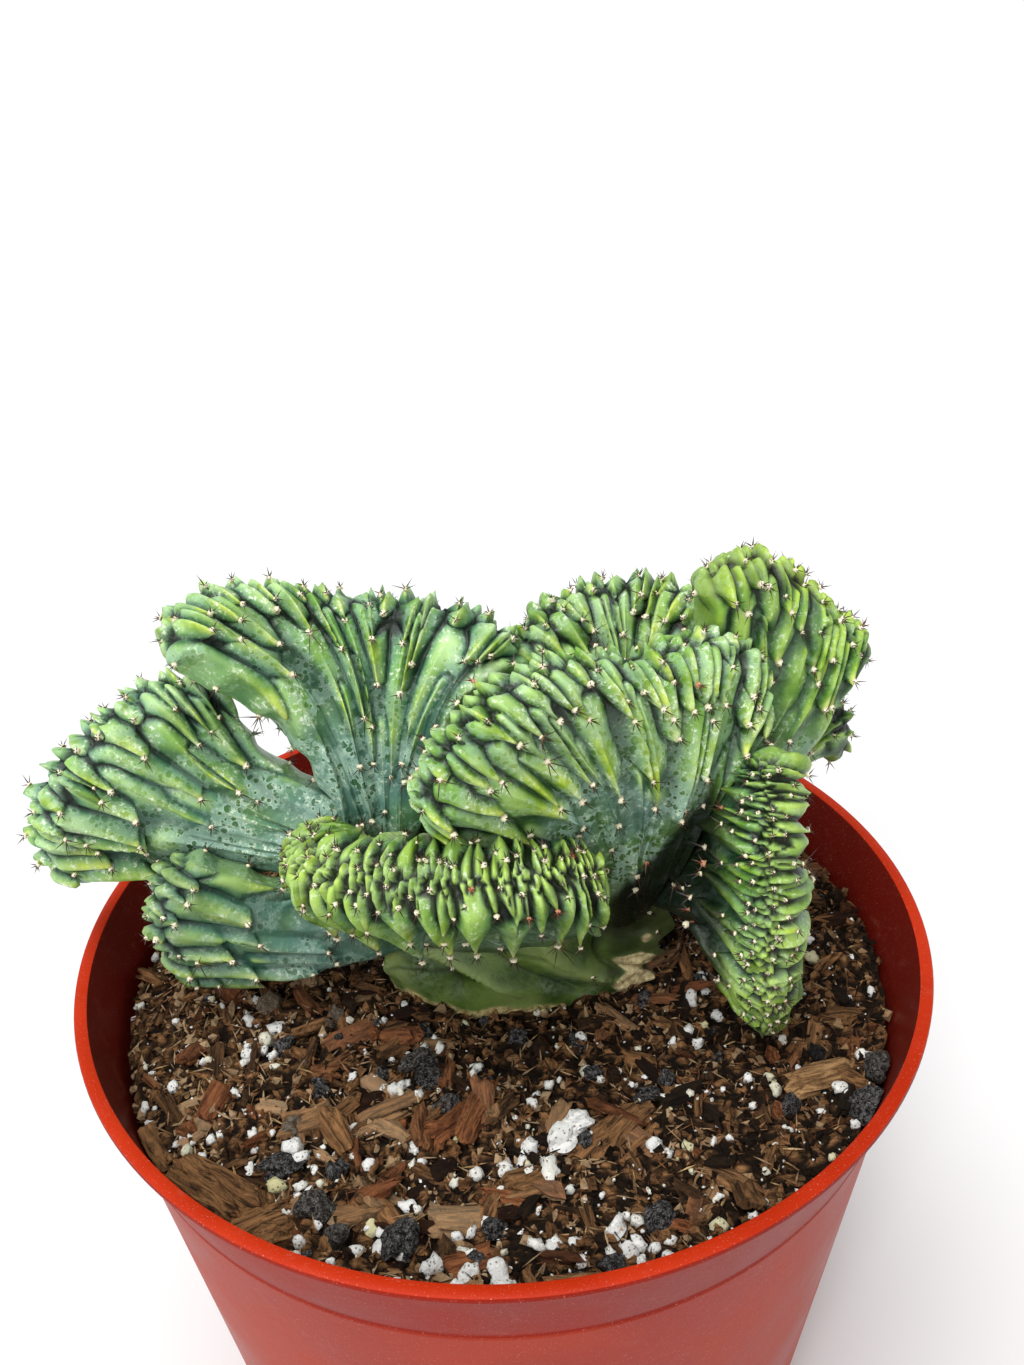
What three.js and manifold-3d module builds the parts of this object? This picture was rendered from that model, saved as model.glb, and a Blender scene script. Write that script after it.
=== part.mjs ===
// A crested blue myrtle cactus (Myrtillocactus geometrizans f. cristata) in a round plastic nursery pot.
// Millimetres, +Z up. The origin is the centre of the pot's flat underside, and the front of the plant
// faces -Y.

import * as THREE from 'three';
import { mergeVertices } from 'three/addons/utils/BufferGeometryUtils.js';
import Module from 'manifold-3d';

const wasm = await Module();
wasm.setup();

// ---------------------------------------------------------------- driving dimensions

const TOUCH_GAP = 0.3;

const POT_HEIGHT = 175;
const POT_RIM_RADIUS = 103;
const POT_BASE_RADIUS = 78;
const POT_WALL = 1.6;
const POT_FLOOR = 2.4;
const POT_CORNER = 1.5;
const POT_SEGMENTS = 48;
const RIM_WIDTH = 4.2;
const RIM_THICKNESS = 1.7;
const RIM_LIP = 1.7;
const COLLAR_HEIGHT = 22;
const COLLAR_FOOT_RADIUS = 96.4;
const DRAIN_HOLES = 8;
const DRAIN_HOLE_RADIUS = 6;
const DRAIN_HOLE_CIRCLE = 62;
const DRAIN_HOLE_SIDES = 10;

const SOIL_LEVEL = 159;
const SOIL_RINGS = 8;
const SOIL_SEGMENTS = 32;
const SOIL_ROUGHNESS = 1.3;
const SOIL_TOP_CLEARANCE = 1;
const LUMP_CLEARANCE = 4;
const BARK_CHIPS = 36;
const BARK_LENGTHS = [9, 20];
const BARK_WIDTH_SHARES = [0.35, 0.6];
const BARK_THICKNESS = 4;
const BARK_TILT = 0.5;
const PERLITE_LUMPS = 28;
const PERLITE_SIZES = [5, 9];
const LAVA_LUMPS = 10;
const LAVA_SIZES = [9, 14];
const LUMP_STRETCHES = [0.9, 1.25];
const LUMP_FLATTENING = 0.85;

const TRUNK_WIDTH = 68;
const TRUNK_DEPTH = 34;
const TRUNK_CENTRE = new THREE.Vector2(4, 0);
const TRUNK_BURIED = 28;
const TRUNK_PLAIN_ABOVE_SOIL = 10;
const TRUNK_SEGMENTS = 28;
const TRUNK_RIBS = 7;

const FINGER_PITCH = 8.4;
const LONG_FINGER = 27;
const SHORT_FINGER = 12;
const FINGER_VARIATION = 0.15;
const FINGER_RELIEF = 2.7;
const GROOVE_DEPTH = 0.9;
const RELIEF_SPREAD = 1.3;
const LONGEST_FINGER_SHARE = 0.4;
const EDGE_ROUNDING = 4;
const EDGE_INSET = 1.2;
const EDGE_TOOTH = 1.6;
const FOOT_ROUNDING = 2.2;
const SPINE_LENGTH = 3.6;
const SPINE_RADIUS = 0.55;
const SPINE_SEAT = [0.5, 0.25, 0.25];
const SPINE_DROOP = 0.4;
const SPINE_LEAN = 0.45;
const LONE_SPINE_FINGER = 17;

// Each fan hangs on three guide curves, from its growing crest through its waist to its foot in the trunk.
// A point is [x, y, height above the soil]. The three thicknesses are half the slab's at the crest, the
// waist and the foot.
const FANS = [
  { // tall left
    crest: [[-68, -4, 96], [-68, 4, 101], [-61, 13, 102], [-47, 20, 98], [-32, 23, 94], [-14, 22, 92],
      [1, 18, 88], [9, 12, 81]],
    waist: [[-47, 0, 74], [-38, 5, 72], [-24, 7, 71], [-9, 4, 71]],
    foot: [[-31, 0, 34], [-22, 0, 34]],
    half: [6.5, 6, 8],
  },
  { // far left
    crest: [[-64, 13, 77], [-74, 9, 82], [-86, 4, 78], [-96, 0, 70], [-103, -3, 62], [-107, -3, 53],
      [-108, -1, 42], [-105, 2, 34]],
    waist: [[-56, 9, 62], [-63, 4, 54], [-71, 2, 45], [-80, 4, 38]],
    foot: [[-24, 0, 44], [-27, 0, 29]],
    half: [6.5, 6, 7],
  },
  { // low left
    crest: [[-71, -10, 46], [-77, -12, 43], [-81, -14, 36], [-81, -15, 27], [-79, -14, 19],
      [-74, -12, 14]],
    waist: [[-51, -8, 34], [-53, -12, 25], [-55, -12, 14]],
    foot: [[-20, -5, 26], [-21, -5, 14]],
    half: [6.5, 6, 7],
  },
  { // front roll
    crest: [[-40, -14, 56], [-42, -24, 60], [-41, -34, 62], [-34, -43, 65], [-20, -50, 68],
      [-5, -53, 69], [7, -50, 67], [16, -44, 64], [22, -36, 57]],
    waist: [[-34, -12, 42], [-29, -22, 43], [-13, -29, 45], [6, -30, 45], [20, -25, 41]],
    foot: [[-27, 0, 21], [-21, -3, 17], [-9, -6, 16], [8, -6, 16], [20, -4, 16]],
    half: [8, 6.5, 6],
  },
  { // centre
    crest: [[-10, -34, 67], [-14, -40, 79], [-11, -43, 89], [-5, -41, 96], [2, -36, 101],
      [12, -29, 102], [23, -22, 99], [33, -15, 95], [42, -9, 96], [51, -4, 93], [58, -2, 87],
      [61, -4, 80], [62, -6, 74]],
    waist: [[11, -24, 53], [17, -24, 67], [32, -19, 71], [47, -11, 58]],
    foot: [[22, -8, 24], [33, -5, 24]],
    half: [6.5, 6, 8],
  },
  { // centre back
    crest: [[5, 16, 80], [10, 23, 86], [18, 30, 88], [26, 34, 89], [35, 36, 89], [43, 34, 89],
      [49, 28, 88], [52, 22, 85]],
    waist: [[19, 16, 67], [31, 18, 66], [43, 14, 67]],
    foot: [[25, 6, 23], [36, 6, 26]],
    half: [6.5, 6, 8],
  },
  { // tall right
    crest: [[48, 4, 103], [52, 5, 106], [57, 7, 107], [63, 10, 105], [71, 15, 98], [77, 20, 89],
      [83, 23, 83], [88, 24, 80], [91, 22, 75]],
    waist: [[49, 7, 77], [60, 8, 73], [71, 10, 70], [79, 13, 66]],
    foot: [[34, 4, 28], [42, 4, 25]],
    half: [7, 6.5, 8],
  },
  { // small right
    crest: [[85, 31, 55], [89, 29, 52], [90, 27, 47], [88, 25, 43]],
    waist: [[73, 20, 56], [75, 18, 46]],
    foot: [[38, 5, 30], [38, 5, 20]],
    half: [6, 5.5, 7],
  },
  { // drooping right
    crest: [[61, -18, 72], [61, -27, 68], [60, -36, 60], [60, -41, 47], [60, -42, 32], [61, -40, 19],
      [62, -37, 9]],
    waist: [[58, -6, 58], [52, -12, 48], [49, -14, 35], [50, -19, 26]],
    foot: [[35, 3, 34], [34, 2, 30], [34, 0, 25], [34, -2, 20]],
    half: [7, 6, 7],
  },
  { // hidden back
    crest: [[-41, 44, 72], [-35, 50, 76], [-23, 54, 77], [-15, 54, 74], [-9, 48, 69]],
    waist: [[-32, 34, 53], [-14, 34, 54]],
    foot: [[-20, 3, 28], [-10, 3, 28]],
    half: [6.5, 6, 8],
  },
];

// ---------------------------------------------------------------- helpers

// A repeatable draw between 0 and 1 for the nth small thing.
function draw(n) {
  const wave = Math.sin(n * 12.9898 + 4.1414) * 43758.5453;
  return wave - Math.floor(wave);
}

function mix(a, b, t) {
  return a + (b - a) * t;
}

function indexedGeometry(points, triangles) {
  const geometry = new THREE.BufferGeometry();
  const numbers = points.flatMap((point) => point.toArray());
  geometry.setAttribute('position', new THREE.Float32BufferAttribute(numbers, 3));
  geometry.setIndex(triangles.flat());
  return geometry;
}

function solidOf(geometry) {
  geometry.deleteAttribute('normal');
  geometry.deleteAttribute('uv');
  const merged = mergeVertices(geometry);
  return new wasm.Manifold(new wasm.Mesh({
    numProp: 3,
    vertProperties: new Float32Array(merged.attributes.position.array),
    triVerts: new Uint32Array(merged.index.array),
  }));
}

function geometryOf(solid) {
  const mesh = solid.getMesh();
  const geometry = new THREE.BufferGeometry();
  geometry.setAttribute('position', new THREE.BufferAttribute(mesh.vertProperties, 3));
  geometry.setIndex(new THREE.BufferAttribute(mesh.triVerts, 1));
  geometry.computeVertexNormals();
  return geometry;
}

function join(solids) {
  return solids.reduce((whole, solid) => whole.add(solid));
}

function namedMesh(name, geometry, color, roughness) {
  const mesh = new THREE.Mesh(geometry, new THREE.MeshStandardMaterial({ color, roughness, metalness: 0 }));
  mesh.name = name;
  return mesh;
}

// ---------------------------------------------------------------- pot

function potOuterRadius(z) {
  const collarFoot = POT_HEIGHT - COLLAR_HEIGHT;
  if (z < collarFoot) {
    return mix(POT_BASE_RADIUS, COLLAR_FOOT_RADIUS, z / collarFoot);
  }
  const upCollar = (z - collarFoot) / (COLLAR_HEIGHT - RIM_THICKNESS);
  return mix(COLLAR_FOOT_RADIUS, POT_RIM_RADIUS - RIM_LIP, upCollar);
}

function potInnerRadius(z) {
  return Math.min(potOuterRadius(z) - POT_WALL, POT_RIM_RADIUS - RIM_WIDTH);
}

function lathe(outline, segments) {
  const geometry = new THREE.LatheGeometry(outline.map(([r, z]) => new THREE.Vector2(r, z)), segments);
  return geometry.rotateX(Math.PI / 2);
}

function potSolid() {
  const collarFoot = POT_HEIGHT - COLLAR_HEIGHT;
  const underRim = POT_HEIGHT - RIM_THICKNESS;
  const innerCorner = POT_FLOOR + POT_CORNER;
  const shell = solidOf(lathe([
    [0, 0],
    [POT_BASE_RADIUS - POT_CORNER, 0],
    [potOuterRadius(POT_CORNER), POT_CORNER],
    [COLLAR_FOOT_RADIUS, collarFoot],
    [POT_RIM_RADIUS - RIM_LIP, underRim],
    [POT_RIM_RADIUS, underRim],
    [POT_RIM_RADIUS, POT_HEIGHT],
    [POT_RIM_RADIUS - RIM_WIDTH, POT_HEIGHT],
    [potInnerRadius(collarFoot), collarFoot],
    [potInnerRadius(innerCorner), innerCorner],
    [potInnerRadius(POT_FLOOR) - POT_CORNER, POT_FLOOR],
    [0, POT_FLOOR],
  ], POT_SEGMENTS));
  const holes = Array.from({ length: DRAIN_HOLES }, (_, k) => {
    const turn = (k / DRAIN_HOLES) * 2 * Math.PI;
    const drill = [DRAIN_HOLE_RADIUS, DRAIN_HOLE_RADIUS, 3 * POT_FLOOR, DRAIN_HOLE_SIDES];
    const hole = new THREE.CylinderGeometry(...drill);
    hole.rotateX(Math.PI / 2);
    hole.translate(DRAIN_HOLE_CIRCLE * Math.cos(turn), DRAIN_HOLE_CIRCLE * Math.sin(turn), POT_FLOOR / 2);
    return solidOf(hole);
  });
  return shell.subtract(join(holes));
}

// ---------------------------------------------------------------- crested fans

function guideCurve(points) {
  const above = ([x, y, height]) => new THREE.Vector3(x, y, SOIL_LEVEL + height);
  return new THREE.CatmullRomCurve3(points.map(above));
}

// The middle sheet of a fan: u runs along the crest from 0 to 1, and depth is the distance down from the
// crest.
const FRAME_STEP = 0.01;

class FanSheet {
  constructor(fan) {
    this.guides = [fan.crest, fan.waist, fan.foot].map(guideCurve);
    this.half = fan.half;
    this.crestLength = this.guides[0].getLength();
    this.columns = new Map();
  }

  column(u) {
    if (!this.columns.has(u)) {
      this.columns.set(u, new THREE.CatmullRomCurve3(this.guides.map((guide) => guide.getPointAt(u))));
    }
    return this.columns.get(u);
  }

  height(u) {
    return this.column(u).getLength();
  }

  point(u, depth) {
    return this.column(u).getPointAt(Math.min(depth / this.height(u), 1));
  }

  // Half the slab's thickness: flat with rounded side edges at the crest, and an oval at the foot.
  halfThickness(u, depth) {
    const t = Math.min(depth / this.height(u), 1);
    const [crest, waist, foot] = this.half;
    const middle = t < 0.5 ? mix(crest, waist, 2 * t) : mix(waist, foot, 2 * t - 1);
    const power = mix(this.crestLength / EDGE_ROUNDING, FOOT_ROUNDING, Math.sqrt(t));
    return middle * (1 - Math.abs(2 * u - 1) ** power) ** (1 / power);
  }

  // Directions across the fan, down it and out of its front face, and how far apart its columns are here.
  frame(u, depth) {
    const t = Math.min(depth / this.height(u), 1);
    const [uLeft, uRight] = [Math.max(u - FRAME_STEP, 0), Math.min(u + FRAME_STEP, 1)];
    const across = this.column(uRight).getPointAt(t).sub(this.column(uLeft).getPointAt(t));
    const down = this.column(u).getTangentAt(t);
    const out = new THREE.Vector3().crossVectors(across, down);
    const spread = out.length() / ((uRight - uLeft) * this.crestLength);
    return { across: across.normalize(), down, out: out.normalize(), spread };
  }

  // A point of the skin. run is the distance over the skin from the crest line, side is 1 for the front and
  // -1 for the back, and relief raises the skin, less so where the columns draw together.
  skin(u, run, side, relief) {
    const capRadius = this.half[0];
    const capRun = capRadius * Math.PI / 2;
    const turn = Math.min(run / capRadius, Math.PI / 2);
    const depth = run < capRun ? capRadius * (1 - Math.cos(turn)) : capRadius + run - capRun;
    const { across, down, out, spread } = this.frame(u, depth);
    const thickness = this.halfThickness(u, depth) * Math.sin(turn);
    const normal = new THREE.Vector3()
      .addScaledVector(down, -Math.cos(turn))
      .addScaledVector(out, side * Math.sin(turn))
      .normalize();
    const position = this.point(u, depth)
      .addScaledVector(out, side * thickness)
      .addScaledVector(normal, relief * Math.min(1, RELIEF_SPREAD * spread));
    return { position, normal, across, down };
  }

  skinRun(u) {
    return this.height(u) + this.half[0] * (Math.PI / 2 - 1);
  }
}

// Every ridge column of the fan carries one finger, a long one and a short one in turn. The back's fingers
// lie between the front's, so the two rows mesh along the crest line.
function fanColumns(sheet, seed) {
  const length = sheet.crestLength;
  const inner = length - 2 * EDGE_ROUNDING;
  const fingers = Math.max(1, Math.round(inner / FINGER_PITCH));
  const ownTip = (c, u) => {
    const reach = Math.floor((c + 1) / 2) % 2 === 0 ? LONG_FINGER : SHORT_FINGER;
    const grown = reach * mix(1 - FINGER_VARIATION, 1 + FINGER_VARIATION, draw(seed + c));
    return Math.min(grown, LONGEST_FINGER_SHARE * sheet.height(u));
  };
  const columns = [];
  for (let c = 1; c < 2 * fingers; c++) {
    const u = (EDGE_ROUNDING + (inner * c) / (2 * fingers)) / length;
    const outermost = c === 1 || c === 2 * fingers - 1;
    const neighbours = outermost ? ownTip(c, u) : 0.5 * (ownTip(c - 1, u) + ownTip(c + 1, u));
    columns.push({
      u,
      front: { ridge: c % 2 === 1, tip: c % 2 === 1 ? ownTip(c, u) : neighbours },
      back: { ridge: c % 2 === 0, tip: c % 2 === 0 ? ownTip(c, u) : neighbours },
    });
  }
  const smooth = { ridge: false, tip: 0.5 * (LONG_FINGER + SHORT_FINGER) };
  const [inset, round] = [EDGE_INSET / length, EDGE_ROUNDING / length];
  const bare = (u) => ({ u, smooth: true, front: smooth, back: smooth });
  return [bare(0), bare(inset), bare(round), ...columns, bare(1 - round), bare(1 - inset), bare(1)];
}

// Rows run from the crest to the finger tip, step off the tip, and go on smooth to the foot. A row's place
// is a share of the finger, then a share of the whole run.
const ROWS_TO_TIP = [0, 0.2, 0.55, 0.92];
const RIDGE_RELIEF = [0, 0.45, 0.75, 1];
const GROOVE_RELIEF = [0, 0.6, 1, 0.9];
const TIP_STEP = 2;
const ROWS_TO_FOOT = [0.6, 0.8, 1];
const STEP_ROW = ROWS_TO_TIP.length;
const LAST_ROW = STEP_ROW + 1 + ROWS_TO_FOOT.length;

function rowRun(sheet, column, side, row) {
  const { tip } = column[side];
  if (row < STEP_ROW) {
    return tip * ROWS_TO_TIP[row];
  }
  const stepped = tip + TIP_STEP;
  if (row === STEP_ROW) {
    return stepped;
  }
  const runs = ROWS_TO_FOOT.map((share) => share * sheet.skinRun(column.u));
  return row === STEP_ROW + 1 ? mix(stepped, runs[0], 0.5) : runs[row - STEP_ROW - 2];
}

function rowRelief(column, side, row) {
  if (column.smooth || row >= STEP_ROW) {
    return 0;
  }
  return column[side].ridge ? FINGER_RELIEF * RIDGE_RELIEF[row] : -GROOVE_DEPTH * GROOVE_RELIEF[row];
}

function fanPoint(sheet, column, side, row) {
  const run = rowRun(sheet, column, side, row);
  const sign = side === 'front' ? 1 : -1;
  const { position, across } = sheet.skin(column.u, run, sign, rowRelief(column, side, row));
  const outward = 2 * column.u - 1;
  const tooth = row % 2 === 1 ? EDGE_TOOTH * Math.sign(outward) * outward ** 6 : 0;
  return position.addScaledVector(across, tooth);
}

// Raises a three-sided spine from a triangle of the skin, near the triangle's first corner.
function raiseSpine(points, triangles, corners, direction) {
  const centre = new THREE.Vector3();
  corners.forEach((corner, k) => centre.addScaledVector(points[corner], SPINE_SEAT[k]));
  const root = corners.map((corner) => {
    const reach = points[corner].clone().sub(centre).setLength(SPINE_RADIUS);
    return points.push(reach.add(centre)) - 1;
  });
  const tip = points.push(centre.addScaledVector(direction, SPINE_LENGTH)) - 1;
  corners.forEach((corner, k) => {
    const next = (k + 1) % 3;
    triangles.push([corner, corners[next], root[next]], [corner, root[next], root[k]]);
    triangles.push([root[k], root[next], tip]);
  });
}

// The skin between two columns and two rows. Below a finger tip its triangles carry the tip's spines: one
// on a short finger, two on a long one.
function skinPatch(sheet, columns, side, grid, i, row, points, triangles) {
  const [a, b, c, d] = [grid[i][row], grid[i + 1][row], grid[i + 1][row + 1], grid[i][row + 1]];
  const turned = (triangle) => (side === 'front' ? triangle : [triangle[0], triangle[2], triangle[1]]);
  const raiseOn = (column, corners, lean) => {
    const run = rowRun(sheet, column, side, row);
    const { normal, across, down } = sheet.skin(column.u, run, side === 'front' ? 1 : -1, 0);
    const direction = normal.addScaledVector(down, SPINE_DROOP).addScaledVector(across, lean).normalize();
    raiseSpine(points, triangles, turned(corners), direction);
  };
  const [left, right] = [columns[i], columns[i + 1]];
  const atTip = row === STEP_ROW - 1;
  const long = (column) => column[side].tip > LONE_SPINE_FINGER;
  if (atTip && right[side].ridge && long(right)) {
    raiseOn(right, [b, c, a], -SPINE_LEAN);
  } else {
    triangles.push(turned([a, b, c]));
  }
  if (atTip && left[side].ridge) {
    raiseOn(left, [a, c, d], long(left) ? SPINE_LEAN : 0);
  } else {
    triangles.push(turned([a, c, d]));
  }
}

function fanSolid(fan, seed) {
  const sheet = new FanSheet(fan);
  const columns = fanColumns(sheet, seed);
  const last = columns.length - 1;
  const points = [];
  const place = (side, i, row) => points.push(fanPoint(sheet, columns[i], side, row)) - 1;
  const rows = Array.from({ length: LAST_ROW + 1 }, (_, row) => row);
  const front = columns.map((_, i) => rows.map((row) => place('front', i, row)));
  const back = columns.map((_, i) => rows.map((row) => {
    const shared = row === 0 || i === 0 || i === last;
    return shared ? front[i][row] : place('back', i, row);
  }));
  const triangles = [];
  for (let i = 0; i < last; i++) {
    for (let row = 0; row < LAST_ROW; row++) {
      skinPatch(sheet, columns, 'front', front, i, row, points, triangles);
      skinPatch(sheet, columns, 'back', back, i, row, points, triangles);
    }
    const [a, b] = [front[i][LAST_ROW], front[i + 1][LAST_ROW]];
    const [c, d] = [back[i + 1][LAST_ROW], back[i][LAST_ROW]];
    triangles.push([a, b, c], [a, c, d]);
  }
  const whole = triangles.filter(([a, b, c]) => a !== b && b !== c && c !== a);
  return solidOf(indexedGeometry(points, whole));
}

// ---------------------------------------------------------------- trunk

// Rings of the trunk: height above the soil, centre x and y, half width and half depth, rib height.
const TRUNK_RINGS = [
  [-TRUNK_BURIED, TRUNK_CENTRE.x, TRUNK_CENTRE.y, 0.44 * TRUNK_WIDTH, 0.42 * TRUNK_DEPTH, 0],
  [-TRUNK_BURIED + 5, TRUNK_CENTRE.x, TRUNK_CENTRE.y, 0.5 * TRUNK_WIDTH, 0.5 * TRUNK_DEPTH, 0],
  [TRUNK_PLAIN_ABOVE_SOIL, TRUNK_CENTRE.x, TRUNK_CENTRE.y, 0.5 * TRUNK_WIDTH, 0.5 * TRUNK_DEPTH, 0],
  [19, 6, 0, 36, 15.5, 1],
  [27, 9, 1, 38, 13.5, 1.2],
  [34, 11, 2, 36, 10.5, 1],
  [39, 12, 2, 28, 6.5, 0.5],
];
const TRUNK_TOP = new THREE.Vector3(13, 2, SOIL_LEVEL + 41);

function ringPoint([height, x, y, halfWidth, halfDepth, rib], turn) {
  const swell = 1 + (rib / halfDepth) * Math.cos(TRUNK_RIBS * turn);
  return new THREE.Vector3(
    x + halfWidth * swell * Math.cos(turn),
    y + halfDepth * swell * Math.sin(turn),
    SOIL_LEVEL + height,
  );
}

function trunkSolid() {
  const turns = Array.from({ length: TRUNK_SEGMENTS }, (_, k) => (k / TRUNK_SEGMENTS) * 2 * Math.PI);
  const points = TRUNK_RINGS.flatMap((ring) => turns.map((turn) => ringPoint(ring, turn)));
  const underside = new THREE.Vector3(TRUNK_CENTRE.x, TRUNK_CENTRE.y, SOIL_LEVEL - TRUNK_BURIED);
  const bottom = points.push(underside) - 1;
  const top = points.push(TRUNK_TOP) - 1;
  const triangles = [];
  turns.forEach((_, k) => {
    const next = (k + 1) % TRUNK_SEGMENTS;
    triangles.push([bottom, next, k]);
    for (let ring = 0; ring < TRUNK_RINGS.length - 1; ring++) {
      const low = ring * TRUNK_SEGMENTS;
      const high = low + TRUNK_SEGMENTS;
      triangles.push([low + k, low + next, high + next], [low + k, high + next, high + k]);
    }
    const rim = (TRUNK_RINGS.length - 1) * TRUNK_SEGMENTS;
    triangles.push([rim + k, rim + next, top]);
  });
  return solidOf(indexedGeometry(points, triangles));
}

// The plain hole that the trunk stands in: its own outline, a touch wider, up past the soil's lumps.
function trunkHole() {
  const outline = new THREE.Shape();
  const [halfWidth, halfDepth] = [0.5 * TRUNK_WIDTH + TOUCH_GAP, 0.5 * TRUNK_DEPTH + TOUCH_GAP];
  outline.absellipse(TRUNK_CENTRE.x, TRUNK_CENTRE.y, halfWidth, halfDepth, 0, 2 * Math.PI);
  const depth = TRUNK_BURIED + TRUNK_PLAIN_ABOVE_SOIL + TOUCH_GAP;
  const curveSegments = TRUNK_SEGMENTS;
  const hole = new THREE.ExtrudeGeometry(outline, { depth, bevelEnabled: false, curveSegments });
  hole.translate(0, 0, SOIL_LEVEL - TRUNK_BURIED - TOUCH_GAP);
  return solidOf(hole);
}

function cactusSolid() {
  return join([trunkSolid(), ...FANS.map((fan, index) => fanSolid(fan, 100 * index))]);
}

// ---------------------------------------------------------------- soil

function soilHeight(x, y) {
  const slow = Math.sin(0.061 * x + 1.3) * Math.cos(0.053 * y - 0.7);
  const quick = Math.sin(0.31 * x + 0.17 * y) * Math.cos(0.27 * y - 0.12 * x + 2);
  return SOIL_LEVEL + SOIL_ROUGHNESS * (slow + 0.7 * quick);
}

// The soil fills the pot to the wall's flats, and is a little narrower at its crumbled top.
function soilBody() {
  const flats = Math.cos(Math.PI / POT_SEGMENTS);
  const topRadius = potInnerRadius(SOIL_LEVEL) * flats - TOUCH_GAP - SOIL_TOP_CLEARANCE;
  const floor = POT_FLOOR + TOUCH_GAP;
  const floorRadius = potInnerRadius(floor) * flats - TOUCH_GAP - POT_CORNER;
  const points = [];
  for (let ring = 1; ring <= SOIL_RINGS; ring++) {
    for (let k = 0; k < SOIL_SEGMENTS; k++) {
      const radius = (topRadius * ring) / SOIL_RINGS;
      const turn = ((k + 0.5 * (ring % 2)) / SOIL_SEGMENTS) * 2 * Math.PI;
      const [x, y] = [radius * Math.cos(turn), radius * Math.sin(turn)];
      points.push(new THREE.Vector3(x, y, soilHeight(x, y)));
    }
  }
  for (let k = 0; k < SOIL_SEGMENTS; k++) {
    const turn = (k / SOIL_SEGMENTS) * 2 * Math.PI;
    points.push(new THREE.Vector3(floorRadius * Math.cos(turn), floorRadius * Math.sin(turn), floor));
  }
  const centre = points.push(new THREE.Vector3(0, 0, soilHeight(0, 0))) - 1;
  const underside = points.push(new THREE.Vector3(0, 0, floor)) - 1;
  const triangles = [];
  for (let k = 0; k < SOIL_SEGMENTS; k++) {
    const next = (k + 1) % SOIL_SEGMENTS;
    triangles.push([centre, k, next]);
    for (let ring = 0; ring < SOIL_RINGS; ring++) {
      const inner = ring * SOIL_SEGMENTS;
      const outer = inner + SOIL_SEGMENTS;
      triangles.push([inner + k, outer + k, outer + next], [inner + k, outer + next, inner + next]);
    }
    const rim = SOIL_RINGS * SOIL_SEGMENTS;
    triangles.push([underside, rim + next, rim + k]);
  }
  return solidOf(indexedGeometry(points, triangles));
}

// The nth lump's place on the soil, kept clear of the wall.
function soilPlace(n, reach) {
  const radius = (potInnerRadius(SOIL_LEVEL) - LUMP_CLEARANCE - reach) * Math.sqrt(draw(3 * n + 1));
  const turn = 2 * Math.PI * draw(3 * n + 2);
  const [x, y] = [radius * Math.cos(turn), radius * Math.sin(turn)];
  return new THREE.Vector3(x, y, soilHeight(x, y));
}

function seatedLump(geometry, n, reach, tilt, rise) {
  geometry.rotateX(tilt * (draw(7 * n) - 0.5));
  geometry.rotateY(tilt * (draw(7 * n + 1) - 0.5));
  geometry.rotateZ(2 * Math.PI * draw(7 * n + 2));
  const place = soilPlace(n, reach);
  geometry.translate(place.x, place.y, place.z + rise);
  return solidOf(geometry);
}

function barkChip(n) {
  const length = mix(...BARK_LENGTHS, draw(5 * n));
  const width = length * mix(...BARK_WIDTH_SHARES, draw(5 * n + 1));
  const chip = new THREE.BoxGeometry(length, width, BARK_THICKNESS);
  return seatedLump(chip, n, 0.5 * length, BARK_TILT, 0);
}

function roundLump(n, sizes) {
  const radius = 0.5 * mix(...sizes, draw(5 * n + 3));
  const lump = new THREE.OctahedronGeometry(radius, 0);
  lump.scale(mix(...LUMP_STRETCHES, draw(5 * n + 4)), 1, LUMP_FLATTENING);
  return seatedLump(lump, n, radius, Math.PI, 0.25 * radius);
}

function soilSolid() {
  const lumps = [];
  for (let n = 0; n < BARK_CHIPS; n++) {
    lumps.push(barkChip(n));
  }
  for (let n = 0; n < PERLITE_LUMPS; n++) {
    lumps.push(roundLump(200 + n, PERLITE_SIZES));
  }
  for (let n = 0; n < LAVA_LUMPS; n++) {
    lumps.push(roundLump(400 + n, LAVA_SIZES));
  }
  return join([soilBody(), ...lumps]).subtract(trunkHole());
}

// ---------------------------------------------------------------- the potted plant

const plant = new THREE.Group();
plant.add(namedMesh('pot', geometryOf(potSolid()), 0xb96d60, 0.45));
plant.add(namedMesh('soil', geometryOf(soilSolid()), 0x4a3020, 0.95));
plant.add(namedMesh('cactus', geometryOf(cactusSolid()), 0x6f9a4f, 0.6));

export default plant;
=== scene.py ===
"""A crested blue myrtle cactus in its nursery pot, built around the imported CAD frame. Metres, +Z up."""
import math

import bmesh
import bpy
import numpy as np
from mathutils import Matrix, Vector


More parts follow.
